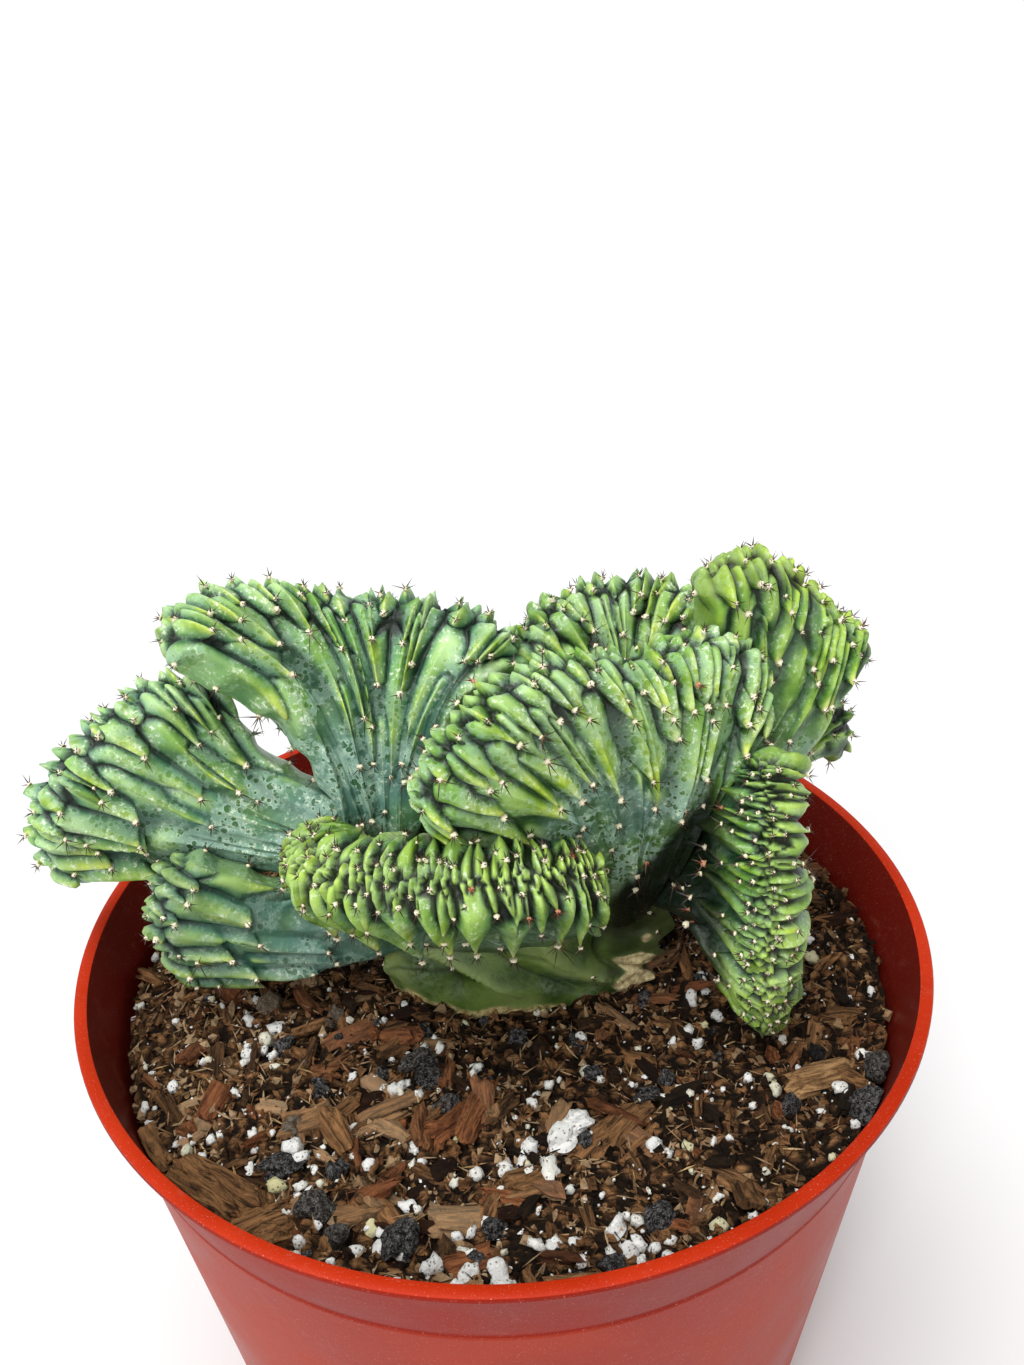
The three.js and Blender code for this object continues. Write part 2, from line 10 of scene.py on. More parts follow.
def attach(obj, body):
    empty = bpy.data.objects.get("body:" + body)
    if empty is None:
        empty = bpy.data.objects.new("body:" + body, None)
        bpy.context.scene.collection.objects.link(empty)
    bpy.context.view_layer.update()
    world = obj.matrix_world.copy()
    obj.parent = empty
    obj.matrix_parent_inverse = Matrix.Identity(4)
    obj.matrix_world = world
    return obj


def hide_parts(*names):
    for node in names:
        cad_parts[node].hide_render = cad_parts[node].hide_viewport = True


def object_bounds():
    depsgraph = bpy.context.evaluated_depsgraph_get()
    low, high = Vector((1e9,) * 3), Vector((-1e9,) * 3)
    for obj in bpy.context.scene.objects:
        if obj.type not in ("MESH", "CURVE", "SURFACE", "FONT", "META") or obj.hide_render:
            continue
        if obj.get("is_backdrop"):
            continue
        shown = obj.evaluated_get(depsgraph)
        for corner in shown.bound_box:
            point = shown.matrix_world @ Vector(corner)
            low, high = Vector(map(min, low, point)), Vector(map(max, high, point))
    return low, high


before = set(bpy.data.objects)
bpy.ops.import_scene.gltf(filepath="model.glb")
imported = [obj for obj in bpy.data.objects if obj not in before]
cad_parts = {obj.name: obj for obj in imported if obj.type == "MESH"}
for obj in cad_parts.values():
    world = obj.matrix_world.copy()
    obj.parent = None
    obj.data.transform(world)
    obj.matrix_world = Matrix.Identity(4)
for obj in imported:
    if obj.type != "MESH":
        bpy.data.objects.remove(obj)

CAD_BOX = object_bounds()
MM = 0.001

# ------------------------------------------------------------------ sizes shared with the CAD, in millimetres

POT_HEIGHT = 175.0
POT_RIM_RADIUS = 103.0
POT_BASE_RADIUS = 78.0
POT_WALL = 1.6
POT_FLOOR = 2.4
RIM_WIDTH = 3.0           # slimmer than the CAD's ring of 4.2
RIM_THICKNESS = 1.7
RIM_LIP = 1.7
COLLAR_HEIGHT = 22.0
COLLAR_FOOT_RADIUS = 96.4
DRAIN_HOLES = 8
DRAIN_HOLE_RADIUS = 6.0
DRAIN_HOLE_CIRCLE = 62.0
SOIL_LEVEL = 159.0
TRUNK_CENTRE = (4.0, 0.0)
TRUNK_WIDTH = 68.0
TRUNK_DEPTH = 34.0
EDGE_ROUNDING = 4.0
FOOT_ROUNDING = 2.2

# Each fan hangs on three guide curves, as in the CAD: a point is [x, y, height above the soil]. half holds
# half its thickness at the crest, the waist and the foot, and grain scales its fingers. heart is how far its
# growing line, where the fingers of both skins meet, lies from the crest towards the front skin.
FANS = {
    "fan_tall_left": dict(
        crest=[[-68, -4, 96], [-68, 4, 101], [-61, 13, 102], [-47, 20, 98], [-32, 23, 94], [-14, 22, 92],
               [1, 18, 88], [9, 12, 81]],
        waist=[[-47, 0, 74], [-38, 5, 72], [-24, 7, 71], [-9, 4, 71]],
        foot=[[-31, 0, 34], [-22, 0, 34]],
        half=[6.5, 6, 8],
        grain=1.2),
    "fan_far_left": dict(
        crest=[[-64, 13, 77], [-74, 9, 82], [-86, 4, 78], [-96, 0, 70], [-103, -3, 62],
               [-107, -3, 53], [-108, -1, 42], [-105, 2, 34]],
        waist=[[-56, 9, 62], [-63, 4, 54], [-71, 2, 45], [-80, 4, 38]],
        foot=[[-24, 0, 44], [-27, 0, 29]],
        half=[6.5, 6, 7],
        grain=1.15),
    "fan_low_left": dict(
        crest=[[-71, -10, 46], [-77, -12, 43], [-81, -14, 36], [-81, -15, 27], [-79, -14, 19],
               [-74, -12, 14]],
        waist=[[-51, -8, 34], [-53, -12, 25], [-55, -12, 14]],
        foot=[[-20, -5, 26], [-21, -5, 14]],
        half=[6.5, 6, 7],
        grain=0.92),
    "fan_front_roll": dict(
        crest=[[-40, -14, 56], [-42, -24, 60], [-41, -34, 62], [-34, -43, 65], [-20, -50, 68], [-5, -53, 69],
               [7, -50, 67], [16, -44, 64], [22, -36, 57]],
        waist=[[-34, -12, 42], [-29, -22, 43], [-13, -29, 45], [6, -30, 45], [20, -25, 41]],
        foot=[[-27, 0, 21], [-21, -3, 17], [-9, -6, 16], [8, -6, 16], [20, -4, 16]],
        half=[8, 6.5, 6],
        grain=0.92),
    "fan_centre": dict(
        crest=[[-10, -34, 67], [-14, -40, 79], [-11, -43, 89], [-5, -41, 96], [2, -36, 101], [12, -29, 102],
               [23, -22, 99], [33, -15, 95], [42, -9, 96], [51, -4, 93], [58, -2, 87], [61, -4, 80],
               [62, -6, 74]],
        waist=[[11, -24, 53], [17, -24, 67], [32, -19, 71], [47, -11, 58]],
        foot=[[22, -8, 24], [33, -5, 24]],
        half=[6.5, 6, 8],
        grain=1.06),
    "fan_centre_back": dict(
        crest=[[5, 16, 80], [10, 23, 86], [18, 30, 88], [26, 34, 89], [35, 36, 89], [43, 34, 89],
               [49, 28, 88], [52, 22, 85]],
        waist=[[19, 16, 67], [31, 18, 66], [43, 14, 67]],
        foot=[[25, 6, 23], [36, 6, 26]],
        half=[6.5, 6, 8],
        grain=1.08),
    "fan_tall_right": dict(
        crest=[[48, 4, 103], [52, 5, 106], [57, 7, 107], [63, 10, 105], [71, 15, 98], [77, 20, 89],
               [83, 23, 83], [88, 24, 80], [91, 22, 75]],
        waist=[[49, 7, 77], [60, 8, 73], [71, 10, 70], [79, 13, 66]],
        foot=[[34, 4, 28], [42, 4, 25]],
        half=[7, 6.5, 8],
        grain=0.95),
    "fan_small_right": dict(
        crest=[[85, 31, 55], [89, 29, 52], [90, 27, 47], [88, 25, 43]],
        waist=[[73, 20, 56], [75, 18, 46]],
        foot=[[38, 5, 30], [38, 5, 20]],
        half=[6, 5.5, 7],
        grain=0.8),
    "fan_drooping_right": dict(
        crest=[[61, -18, 72], [61, -27, 68], [60, -36, 60], [60, -41, 47], [60, -42, 32], [61, -40, 19],
               [62, -37, 9]],
        waist=[[58, -6, 58], [52, -12, 48], [49, -14, 35], [50, -19, 26]],
        foot=[[35, 3, 34], [34, 2, 30], [34, 0, 25], [34, -2, 20]],
        half=[7, 6, 7],
        grain=0.74,
        heart=-4.0),
    "fan_hidden_back": dict(
        crest=[[-41, 44, 72], [-35, 50, 76], [-23, 54, 77], [-15, 54, 74], [-9, 48, 69]],
        waist=[[-32, 34, 53], [-14, 34, 54]],
        foot=[[-20, 3, 28], [-10, 3, 28]],
        half=[6.5, 6, 8],
        grain=0.9),
}

# Fans with a thin wax film, with a bluer skin, and rolled ones, whose fingers are long, pointed and crowded.
FRESH_FANS = ("fan_tall_right", "fan_small_right")
COOL_FANS = ("fan_tall_left", "fan_far_left")
ROLLED_FANS = ("fan_front_roll", "fan_drooping_right")

# The fingers of a fan, from the oldest, longest ones to the buds at the crest line. pitch is their distance
# along the crest, shift their offset in pitches, reach how far from the crest line their tips lie, root the
# share of the reach where they begin, room half their widest, size how strongly they hold their ground, tip
# the share of that at their tip, relief their height, lift the share of it that their root has, and keel 1
# for a folded ridge, 0 for a round back. A fan's grain scales the lengths.
FINGER_FIELDS = ("pitch", "shift", "reach", "root", "room", "size", "tip", "relief", "lift", "keel")
FINGER_KINDS = [
    (15.6, 0.75, 62.0, 0.62, 6.4, 1.0, 0.4, 3.4, 0.3, 0.9),
    (15.6, 0.25, 45.0, 0.5, 6.6, 1.0, 0.45, 4.6, 0.35, 0.8),
    (15.6, 0.0, 31.0, 0.36, 7.6, 1.15, 0.55, 5.4, 0.35, 0.6),
    (15.6, 0.5, 20.0, 0.34, 6.4, 1.05, 0.6, 5.4, 0.4, 0.55),
    (7.8, 0.25, 12.5, 0.3, 3.8, 0.85, 0.55, 4.8, 0.6, 0.55),
    (7.8, 0.75, 7.6, 0.25, 3.0, 0.8, 0.55, 4.5, 0.75, 0.5),
    (7.8, 0.3, 3.2, 0.0, 2.3, 0.7, 0.6, 4.6, 0.9, 0.45),
]
ROLLED_FINGER_KINDS = [
    (18.6, 0.5, 40.0, 0.66, 5.0, 1.0, 0.4, 2.4, 0.3, 1.0),
    (9.3, 0.0, 25.0, 0.16, 5.2, 1.5, 0.3, 6.8, 0.4, 0.75),
    (9.3, 0.5, 13.5, 0.2, 3.0, 0.85, 0.4, 5.0, 0.6, 0.7),
    (4.65, 0.25, 6.8, 0.15, 2.0, 0.75, 0.5, 4.4, 0.9, 0.5),
    (4.65, 0.75, 3.0, 0.0, 1.6, 0.7, 0.6, 4.0, 1.0, 0.3),
]
# How far one finger may differ from its kind.
PLACE_JITTER = 0.3        # in pitches
LEAN_JITTER = 0.16
BEND_JITTER = 1.3
SKEW_JITTER = 0.35
REACH_RANGE = (0.66, 1.34)
ROOM_RANGE = (0.88, 1.15)
RELIEF_RANGE = (0.7, 1.2)
SIZE_RANGE = (0.8, 1.25)
SKIN_SHIFTS = {1: 0.1, -1: 0.6}    # in pitches, so that the back's fingers stand between the front's
BUD_REACH = 14.0          # shorter fingers are buds
BUD_GRAIN = 1.12          # and no fan makes them coarser than this
SHOULDER_SHARE = 0.5      # where a finger starts to taper to its tip
TIP_STEEPNESS = 1.6
TIP_DROOP = 0.7           # how far a tip hangs down, as a share of its height
YOUNG_ZONE = 31.0         # how far down from the crest line the skin is young
RIDGE_WAVE = 0.16         # how quickly a finger's bend turns, in radians a mm
GROOVE_DEPTH = 1.3
RELIEF_SPREAD = 1.5       # relief flattens where columns draw closer than one over this
RIB_PITCH = 21.0
RIB_HEIGHT = 1.5
TOOTH_PITCH = 11.5
TOOTH_START = 4.5         # how far from the crest line the first tooth of a side edge stands
TOOTH_HEIGHT = 2.0
EDGE_BULGE = 0.6
UNCLAIMED = 99            # the claim on a point that no finger holds
OUT_OF_ROOM = 9


# ------------------------------------------------------------------ curves and meshes

def mix(a, b, t):
    return a + (b - a) * t


def smooth(t):
    t = np.clip(t, 0, 1)
    return t * t * (3 - 2 * t)


def catmull_rom(points, t):
    """A centripetal Catmull-Rom curve through points (k, ..., 3) at the parameters t, from 0 to 1."""
    points = np.asarray(points, float)
    spans = len(points) - 1
    place = spans * np.asarray(t, float)
    i = np.minimum(place.astype(int), spans - 1)
    w = (place - i).reshape((-1,) + (1,) * (points.ndim - 1))
    ends = np.concatenate([[2 * points[0] - points[1]], points, [2 * points[-1] - points[-2]]])
    p0, p1, p2, p3 = (ends[i + k] for k in range(4))
    d0, d1, d2 = (np.sqrt(np.linalg.norm(b - a, axis=-1, keepdims=True))
                  for a, b in ((p0, p1), (p1, p2), (p2, p3)))
    m1 = ((p1 - p0) / d0 - (p2 - p0) / (d0 + d1) + (p2 - p1) / d1) * d1
    m2 = ((p2 - p1) / d1 - (p3 - p1) / (d1 + d2) + (p3 - p2) / d2) * d1
    return p1 + m1 * w + (3 * (p2 - p1) - 2 * m1 - m2) * w ** 2 + (2 * (p1 - p2) + m1 + m2) * w ** 3


def even_points(points, shares, steps=400):
    """Points at even shares of a guide curve's length, and that length."""
    curve = catmull_rom(points, np.linspace(0, 1, steps))
    run = np.concatenate([[0], np.cumsum(np.linalg.norm(np.diff(curve, axis=0), axis=1))])
    return np.stack([np.interp(shares * run[-1], run, curve[:, k]) for k in range(3)], -1), run[-1]


def unit(vectors):
    return vectors / np.maximum(np.linalg.norm(vectors, axis=-1, keepdims=True), 1e-9)


def full_turn(count):
    return np.linspace(0, 2 * math.pi, count, endpoint=False)


def circle(radius, turn, height):
    return [(radius * math.cos(a), radius * math.sin(a), height) for a in turn]


def grid_faces(grid, forward):
    a, b, c, d = grid[:-1, :-1], grid[1:, :-1], grid[1:, 1:], grid[:-1, 1:]
    order = (a, b, c, d) if forward else (a, d, c, b)
    return np.stack([corner.reshape(-1) for corner in order], 1)


def closed(grid):
    """The grid with its first column repeated after its last."""
    return np.concatenate([grid, grid[:, :1]], 1)


def spokes(ring, hub, forward):
    """Triangles between a closed ring of points and its hub."""
    following = np.roll(ring, -1)
    pair = (ring, following) if forward else (following, ring)
    return np.column_stack([*pair, np.full(len(ring), hub)])


def grid_triangles(grid, forward):
    """A grid's faces, each cut in two."""
    quads = grid_faces(grid, forward)
    return np.stack([quads[:, :3], quads[:, [0, 2, 3]]], 1).reshape(-1, 3)


def new_object(name, data):
    item = bpy.data.objects.new(name, data)
    bpy.context.scene.collection.objects.link(item)
    return item


class MeshData:
    """Vertices, faces and per-vertex colours gathered from many small shapes, all in millimetres."""

    def __init__(self):
        self.points, self.faces, self.tones = [], [], []
        self.count = 0

    def add(self, points, faces, tones):
        points = np.asarray(points, float).reshape(-1, 3)
        tones = np.asarray(tones, float)
        tones = tones.reshape(-1, tones.shape[-1])
        self.join(np.asarray(faces, int) + self.count)
        self.points.append(points)
        self.tones.append(np.broadcast_to(tones, (len(points), tones.shape[-1])))
        self.count += len(points)

    def join(self, faces):
        """Faces between points that are already here."""
        self.faces.append(np.asarray(faces, int))

    def add_tube(self, rings, forward, tones):
        """Closed rings of points, each joined to the next. Gives back the points' numbers."""
        rings = np.asarray(rings, float)
        grid = np.arange(rings.shape[0] * rings.shape[1]).reshape(rings.shape[:2])
        first = self.count
        self.add(rings, grid_faces(closed(grid), forward), tones)
        return grid + first

    def cap_ends(self, grid, hubs, tones):
        """Closes a tube's first and last ring, each round its own hub."""
        first = self.count
        self.add(hubs, np.zeros((0, 3)), tones)
        self.join(np.concatenate([spokes(grid[0], first, False), spokes(grid[-1], first + 1, True)]))

    def build(self, name, material, shade_smooth=True, merge=False):
        points = np.concatenate(self.points) * MM
        mesh = bpy.data.meshes.new(name)
        sizes = np.concatenate([np.full(len(f), f.shape[1]) for f in self.faces])
        corners = np.concatenate([f.reshape(-1) for f in self.faces])
        mesh.vertices.add(len(points))
        mesh.vertices.foreach_set("co", points.reshape(-1))
        mesh.loops.add(len(corners))
        mesh.loops.foreach_set("vertex_index", corners.astype(np.int32))
        mesh.polygons.add(len(sizes))
        starts = np.concatenate([[0], np.cumsum(sizes)[:-1]])
        mesh.polygons.foreach_set("loop_start", starts.astype(np.int32))
        mesh.polygons.foreach_set("loop_total", sizes.astype(np.int32))
        mesh.update(calc_edges=True)
        mesh.validate()
        mesh.polygons.foreach_set("use_smooth", np.full(len(mesh.polygons), shade_smooth))
        tones = np.concatenate(self.tones)
        for name_at, first in (("tone", 0), ("mark", 3)):
            if tones.shape[1] > first:
                colours = np.concatenate([tones[:, first:first + 3], np.ones((len(tones), 1))], 1)
                layer = mesh.attributes.new(name_at, "FLOAT_COLOR", "POINT")
                layer.data.foreach_set("color", colours.astype(np.float32).reshape(-1))
        mesh.materials.append(material)
        if merge:
            shape = bmesh.new()
            shape.from_mesh(mesh)
            bmesh.ops.remove_doubles(shape, verts=shape.verts, dist=1e-6)
            shape.to_mesh(mesh)
            shape.free()
        return new_object(name, mesh)


# ------------------------------------------------------------------ materials

class Shader:
    """A node material, written as nested calls: each call adds a node and gives back its main output."""

    def __init__(self, name):
        self.material = bpy.data.materials.new(name)
        self.material.use_nodes = True
        self.tree = self.material.node_tree
        self.tree.nodes.clear()
        self.output = self.tree.nodes.new("ShaderNodeOutputMaterial")

    def plug(self, socket, value):
        if isinstance(value, bpy.types.NodeSocket):
            self.tree.links.new(value, socket)
        else:
            socket.default_value = value

    def node(self, kind, inputs, out=0, **settings):
        node = self.tree.nodes.new("ShaderNode" + kind)
        for key, value in settings.items():
            setattr(node, key, value)
        for key, value in inputs.items():
            self.plug(node.inputs[key], value)
        return node.outputs[out]

    def tone(self, attribute_name="tone"):
        attribute = self.node("Attribute", {}, out="Color", attribute_name=attribute_name)
        split = self.tree.nodes.new("ShaderNodeSeparateColor")
        self.tree.links.new(attribute, split.inputs[0])
        return split.outputs[0], split.outputs[1], split.outputs[2]

    def place(self):
        return self.node("TexCoord", {}, out="Object")

    def noise(self, scale, detail=3.0, rough=0.55, where=None, warp=0.0):
        inputs = {"Scale": scale, "Detail": detail, "Roughness": rough, "Distortion": warp}
        inputs["Vector"] = self.place() if where is None else where
        return self.node("TexNoise", inputs, out="Fac")

    def math(self, operation, a, b):
        return self.node("Math", {0: a, 1: b}, operation=operation)

    def times(self, product, *factors):
        for factor in factors:
            product = self.math("MULTIPLY", product, factor)
        return product

    def step(self, value, low, high, out_low=0.0, out_high=1.0):
        inputs = {"Value": value, "From Min": low, "From Max": high, "To Min": out_low, "To Max": out_high}
        return self.node("MapRange", inputs, interpolation_type="SMOOTHSTEP")

    def blend(self, factor, a, b):
        node = self.tree.nodes.new("ShaderNodeMix")
        node.data_type = "RGBA"
        self.plug(node.inputs[0], factor)
        self.plug(node.inputs[6], a)
        self.plug(node.inputs[7], b)
        return node.outputs[2]

    def mottle(self, value, low, high, first, second):
        """The first colour at low and the second at high, each of three 0 to 255 values."""
        return self.blend(self.step(value, low, high), srgb(*first), srgb(*second))

    def bump(self, height, distance, strength=1.0):
        return self.node("Bump", {"Height": height, "Distance": distance, "Strength": strength})

    def finish(self, colour, roughness, normal=None, **sockets):
        bsdf = self.tree.nodes.new("ShaderNodeBsdfPrincipled")
        self.plug(bsdf.inputs["Base Color"], colour)
        self.plug(bsdf.inputs["Roughness"], roughness)
        if normal is not None:
            self.plug(bsdf.inputs["Normal"], normal)
        for key, value in sockets.items():
            bsdf.inputs[key.replace("_", " ")].default_value = value
        self.tree.links.new(bsdf.outputs[0], self.output.inputs[0])
        return self.material


def srgb(red, green, blue):
    """A linear colour from the three 0 to 255 values that a picture shows."""
    shares = [c / 255 for c in (red, green, blue)]
    return tuple(c / 12.92 if c <= 10 / 255 else ((c + 0.055) / 1.055) ** 2.4 for c in shares) + (1,)


def skin_material(name, wax, shade=1.0, cool=0.0):
    """Cactus skin under a pale wax film. wax goes from 0, bare and bright green, to 1. A lower shade darkens
    the whole skin with painted shade, and a higher cool is bluer. The tones hold the ridge height, the
    painted shade in the creases, the age from the crest to the foot, the place along a finger, a hue for each
    finger and the youth."""
    s = Shader(name)
    ridge, crease_shade, age = s.tone()
    along, hue, young = s.tone("mark")
    broad = s.noise(34.0, 3.0)
    cloudy = s.noise(150.0, 4.0, 0.6)
    fine = s.noise(900.0, 4.0, 0.7)

    def tint(bare, waxy):
        return [mix(a, b, wax) for a, b in zip(bare, waxy)]

    # From the valleys over the flanks to the backs the colour follows the ridge height: partly the skin's own
    # colour, partly painted shade in the valleys and painted light on the backs.
    pale = s.mottle(cloudy, 0.35, 0.65, (74, 108, 74), (108, 146, 114))
    deep = s.mottle(cloudy, 0.35, 0.65, (34, 66, 30), (62, 100, 54))
    valley = s.blend(s.step(young, 0.2, mix(0.35, 0.95, wax)), pale, deep)
    flank = s.mottle(cloudy, 0.34, 0.62, tint((38, 78, 26), (80, 120, 50)),
                    tint((74, 122, 56), (126, 168, 88)))
    back = s.mottle(cloudy, 0.34, 0.62, tint((76, 126, 26), (138, 172, 40)),
                    tint((152, 192, 50), (206, 226, 92)))
    root = s.mottle(broad, 0.36, 0.62, tint((78, 128, 30), (118, 166, 64)),
                    tint((164, 200, 46), (188, 222, 142)))
    colour = s.blend(s.step(ridge, 0.12, 0.62), valley, flank)
    colour = s.blend(s.times(s.step(along, 0.6, 0.1), s.step(ridge, 0.35, 0.75)), colour, root)
    lit = s.times(s.step(ridge, 0.42, 0.88), s.step(along, 0.1, 0.7), s.step(hue, 0.0, 0.9, 0.4, 1.0))
    colour = s.blend(lit, colour, back)
    # The tips are paler yellow: partly their own colour, partly a painted highlight.
    tip = s.times(s.step(along, 0.8, 1.0), s.step(ridge, 0.6, 0.95), 0.7)
    colour = s.blend(tip, colour, srgb(246, 242, 140))
    teal = s.mottle(cloudy, 0.32, 0.68, tint((78, 114, 78), (78, 114, 100)),
                    tint((122, 156, 112), (122, 156, 142)))
    mossy = s.mottle(cloudy, 0.3, 0.7, (70, 110, 52), (108, 146, 82))
    body = s.blend(s.step(broad, 0.4, 0.62), mossy, teal)
    colour = s.blend(s.step(young, 0.85, 0.15), colour, body)
    # Darker towards the foot: old skin and painted shade under the fans.
    low = s.mottle(cloudy, 0.3, 0.7, (44, 66, 26), (84, 104, 58))
    colour = s.blend(s.step(age, 0.68, 0.9), colour, low)
    colour = s.blend(s.times(s.step(age, 0.06, 0.0), 0.4 * (1 - wax)), colour, srgb(206, 222, 96))
    chill = s.times(s.step(hue, 0.9, 0.1, 0.4, 1.0), s.step(ridge, 0.5, 0.85, cool, 0.35 * cool))
    colour = s.blend(chill, colour, srgb(92, 160, 150))
    colour = wax_film(s, colour, wax, young, age)
    keel = s.times(s.step(ridge, 0.9, 0.98), s.step(young, 1.0, 0.5, 0.1, 0.5), s.step(cloudy, 0.42, 0.56))
    colour = s.blend(keel, colour, srgb(184, 206, 160))
    frost = s.times(s.step(fine, 0.52, 0.64), s.step(cloudy, 0.45, 0.6), s.step(ridge, 0.1, 0.6, 0.3, 1.0))
    colour = s.blend(s.times(frost, 0.25 + 0.65 * wax), colour, srgb(230, 242, 218))
    # Painted shade in the creases where fingers meet and in the hollow under the centre fan.
    colour = s.blend(s.times(crease_shade, 0.95), colour, srgb(4, 12, 5))
    # Painted shade over a whole fan that sits in the shade of others.
    if shade < 1:
        colour = s.blend(1 - shade, colour, srgb(10, 30, 22))
    relief = s.math("ADD", s.times(fine, 0.6), s.times(cloudy, 0.8))
    rough = s.step(fine, 0.3, 0.7, 0.26, 0.46)
    return s.finish(colour, rough, s.bump(relief, 0.0005, 0.7), Specular_IOR_Level=0.34)


WAX_HOLES = 700.0         # how many bare holes the wax film has room for, in a metre
WAX_DRIFT = 0.0013        # how far the holes are pulled out of round, in metres


def wax_film(s, colour, wax, young, age):
    """The film over a skin colour: pale, thin in places, and broken by round bare holes of many sizes."""
    drift = s.node("TexNoise", {"Vector": s.place(), "Scale": 420.0, "Detail": 3.0}, out="Color")
    drift = s.node("VectorMath", {0: drift, 1: (WAX_DRIFT,) * 3}, operation="MULTIPLY")
    wander = s.node("VectorMath", {0: s.place(), 1: drift}, operation="ADD")
    cells, lots = (s.node("TexVoronoi", {"Vector": wander, "Scale": WAX_HOLES}, out=out)
                   for out in ("Distance", "Color"))
    lot = s.node("SeparateColor", {0: lots})
    reach = s.math("SUBTRACT", cells, s.times(s.math("POWER", lot, 1.5), 0.62))
    cloud = s.noise(95.0, 5.0, 0.7)
    patches = s.times(s.step(cloud, 0.45, 0.53), s.step(young, 1.0, 0.2, 0.4, 1.0),
                      s.step(age, 0.88, 0.7, 0.0, wax))
    holes = s.times(patches, s.step(reach, 0.1, 0.0), 0.7)
    film = s.times(patches, s.step(reach, 0.04, 0.12), s.step(cloud, 0.7, 0.5, 0.4, 0.85))
    colour = s.blend(holes, colour, srgb(56, 96, 38))
    return s.blend(film, colour, s.mottle(reach, 0.3, 0.08, (158, 192, 174), (206, 226, 208)))


def wool_material():
    s = Shader("areole_wool")
    tint, rise, _ = s.tone()
    colour = s.blend(tint, srgb(250, 244, 214), srgb(186, 92, 48))
    colour = s.blend(s.step(rise, 0.5, 0.0, 0.0, 0.5), colour, srgb(132, 112, 66))
    return s.finish(colour, 0.9, s.bump(s.noise(3000.0), 0.0002))


def spine_material():
    s = Shader("spines")
    along, hue, _ = s.tone()
    root = s.blend(hue, srgb(150, 116, 78), srgb(186, 90, 50))
    colour = s.blend(s.step(along, 0.0, 0.35), root, s.blend(hue, srgb(48, 31, 22), srgb(96, 44, 24)))
    return s.finish(colour, 0.5)


# ------------------------------------------------------------------ the cactus: crested fans

# Below a slanting line under the centre fan, in front, painted shade darkens the skin, where the stalks leave
# a deep hollow: the line's x, height above the soil and slope, and the dark part's left, right and back ends.
HOLLOW_X = 31.0
HOLLOW_HEIGHT = 45.0
HOLLOW_SLOPE = 1.4
HOLLOW_START = 22.0
HOLLOW_END = 52.0
HOLLOW_BACK = -2.0
HOLLOW_BLUR = 6.0


def hollow_shade(points):
    """How much painted shade points get there, from 0 to 1."""
    x, y, height = points[..., 0], points[..., 1], points[..., 2] - SOIL_LEVEL
    below = smooth((HOLLOW_HEIGHT + HOLLOW_SLOPE * (x - HOLLOW_X) - height) / HOLLOW_BLUR)
    along = smooth((HOLLOW_END - x) / (HOLLOW_BLUR - 1))
    return below * along * smooth((x - HOLLOW_START) / HOLLOW_BLUR) * smooth((HOLLOW_BACK - y) / HOLLOW_BLUR)


def ridge_place(finger, distance):
    """Where along the crest a finger's ridge runs, at a distance from the crest line."""
    return finger["centre"] + finger["lean"] * distance + finger["bend"] * np.sin(RIDGE_WAVE * distance)


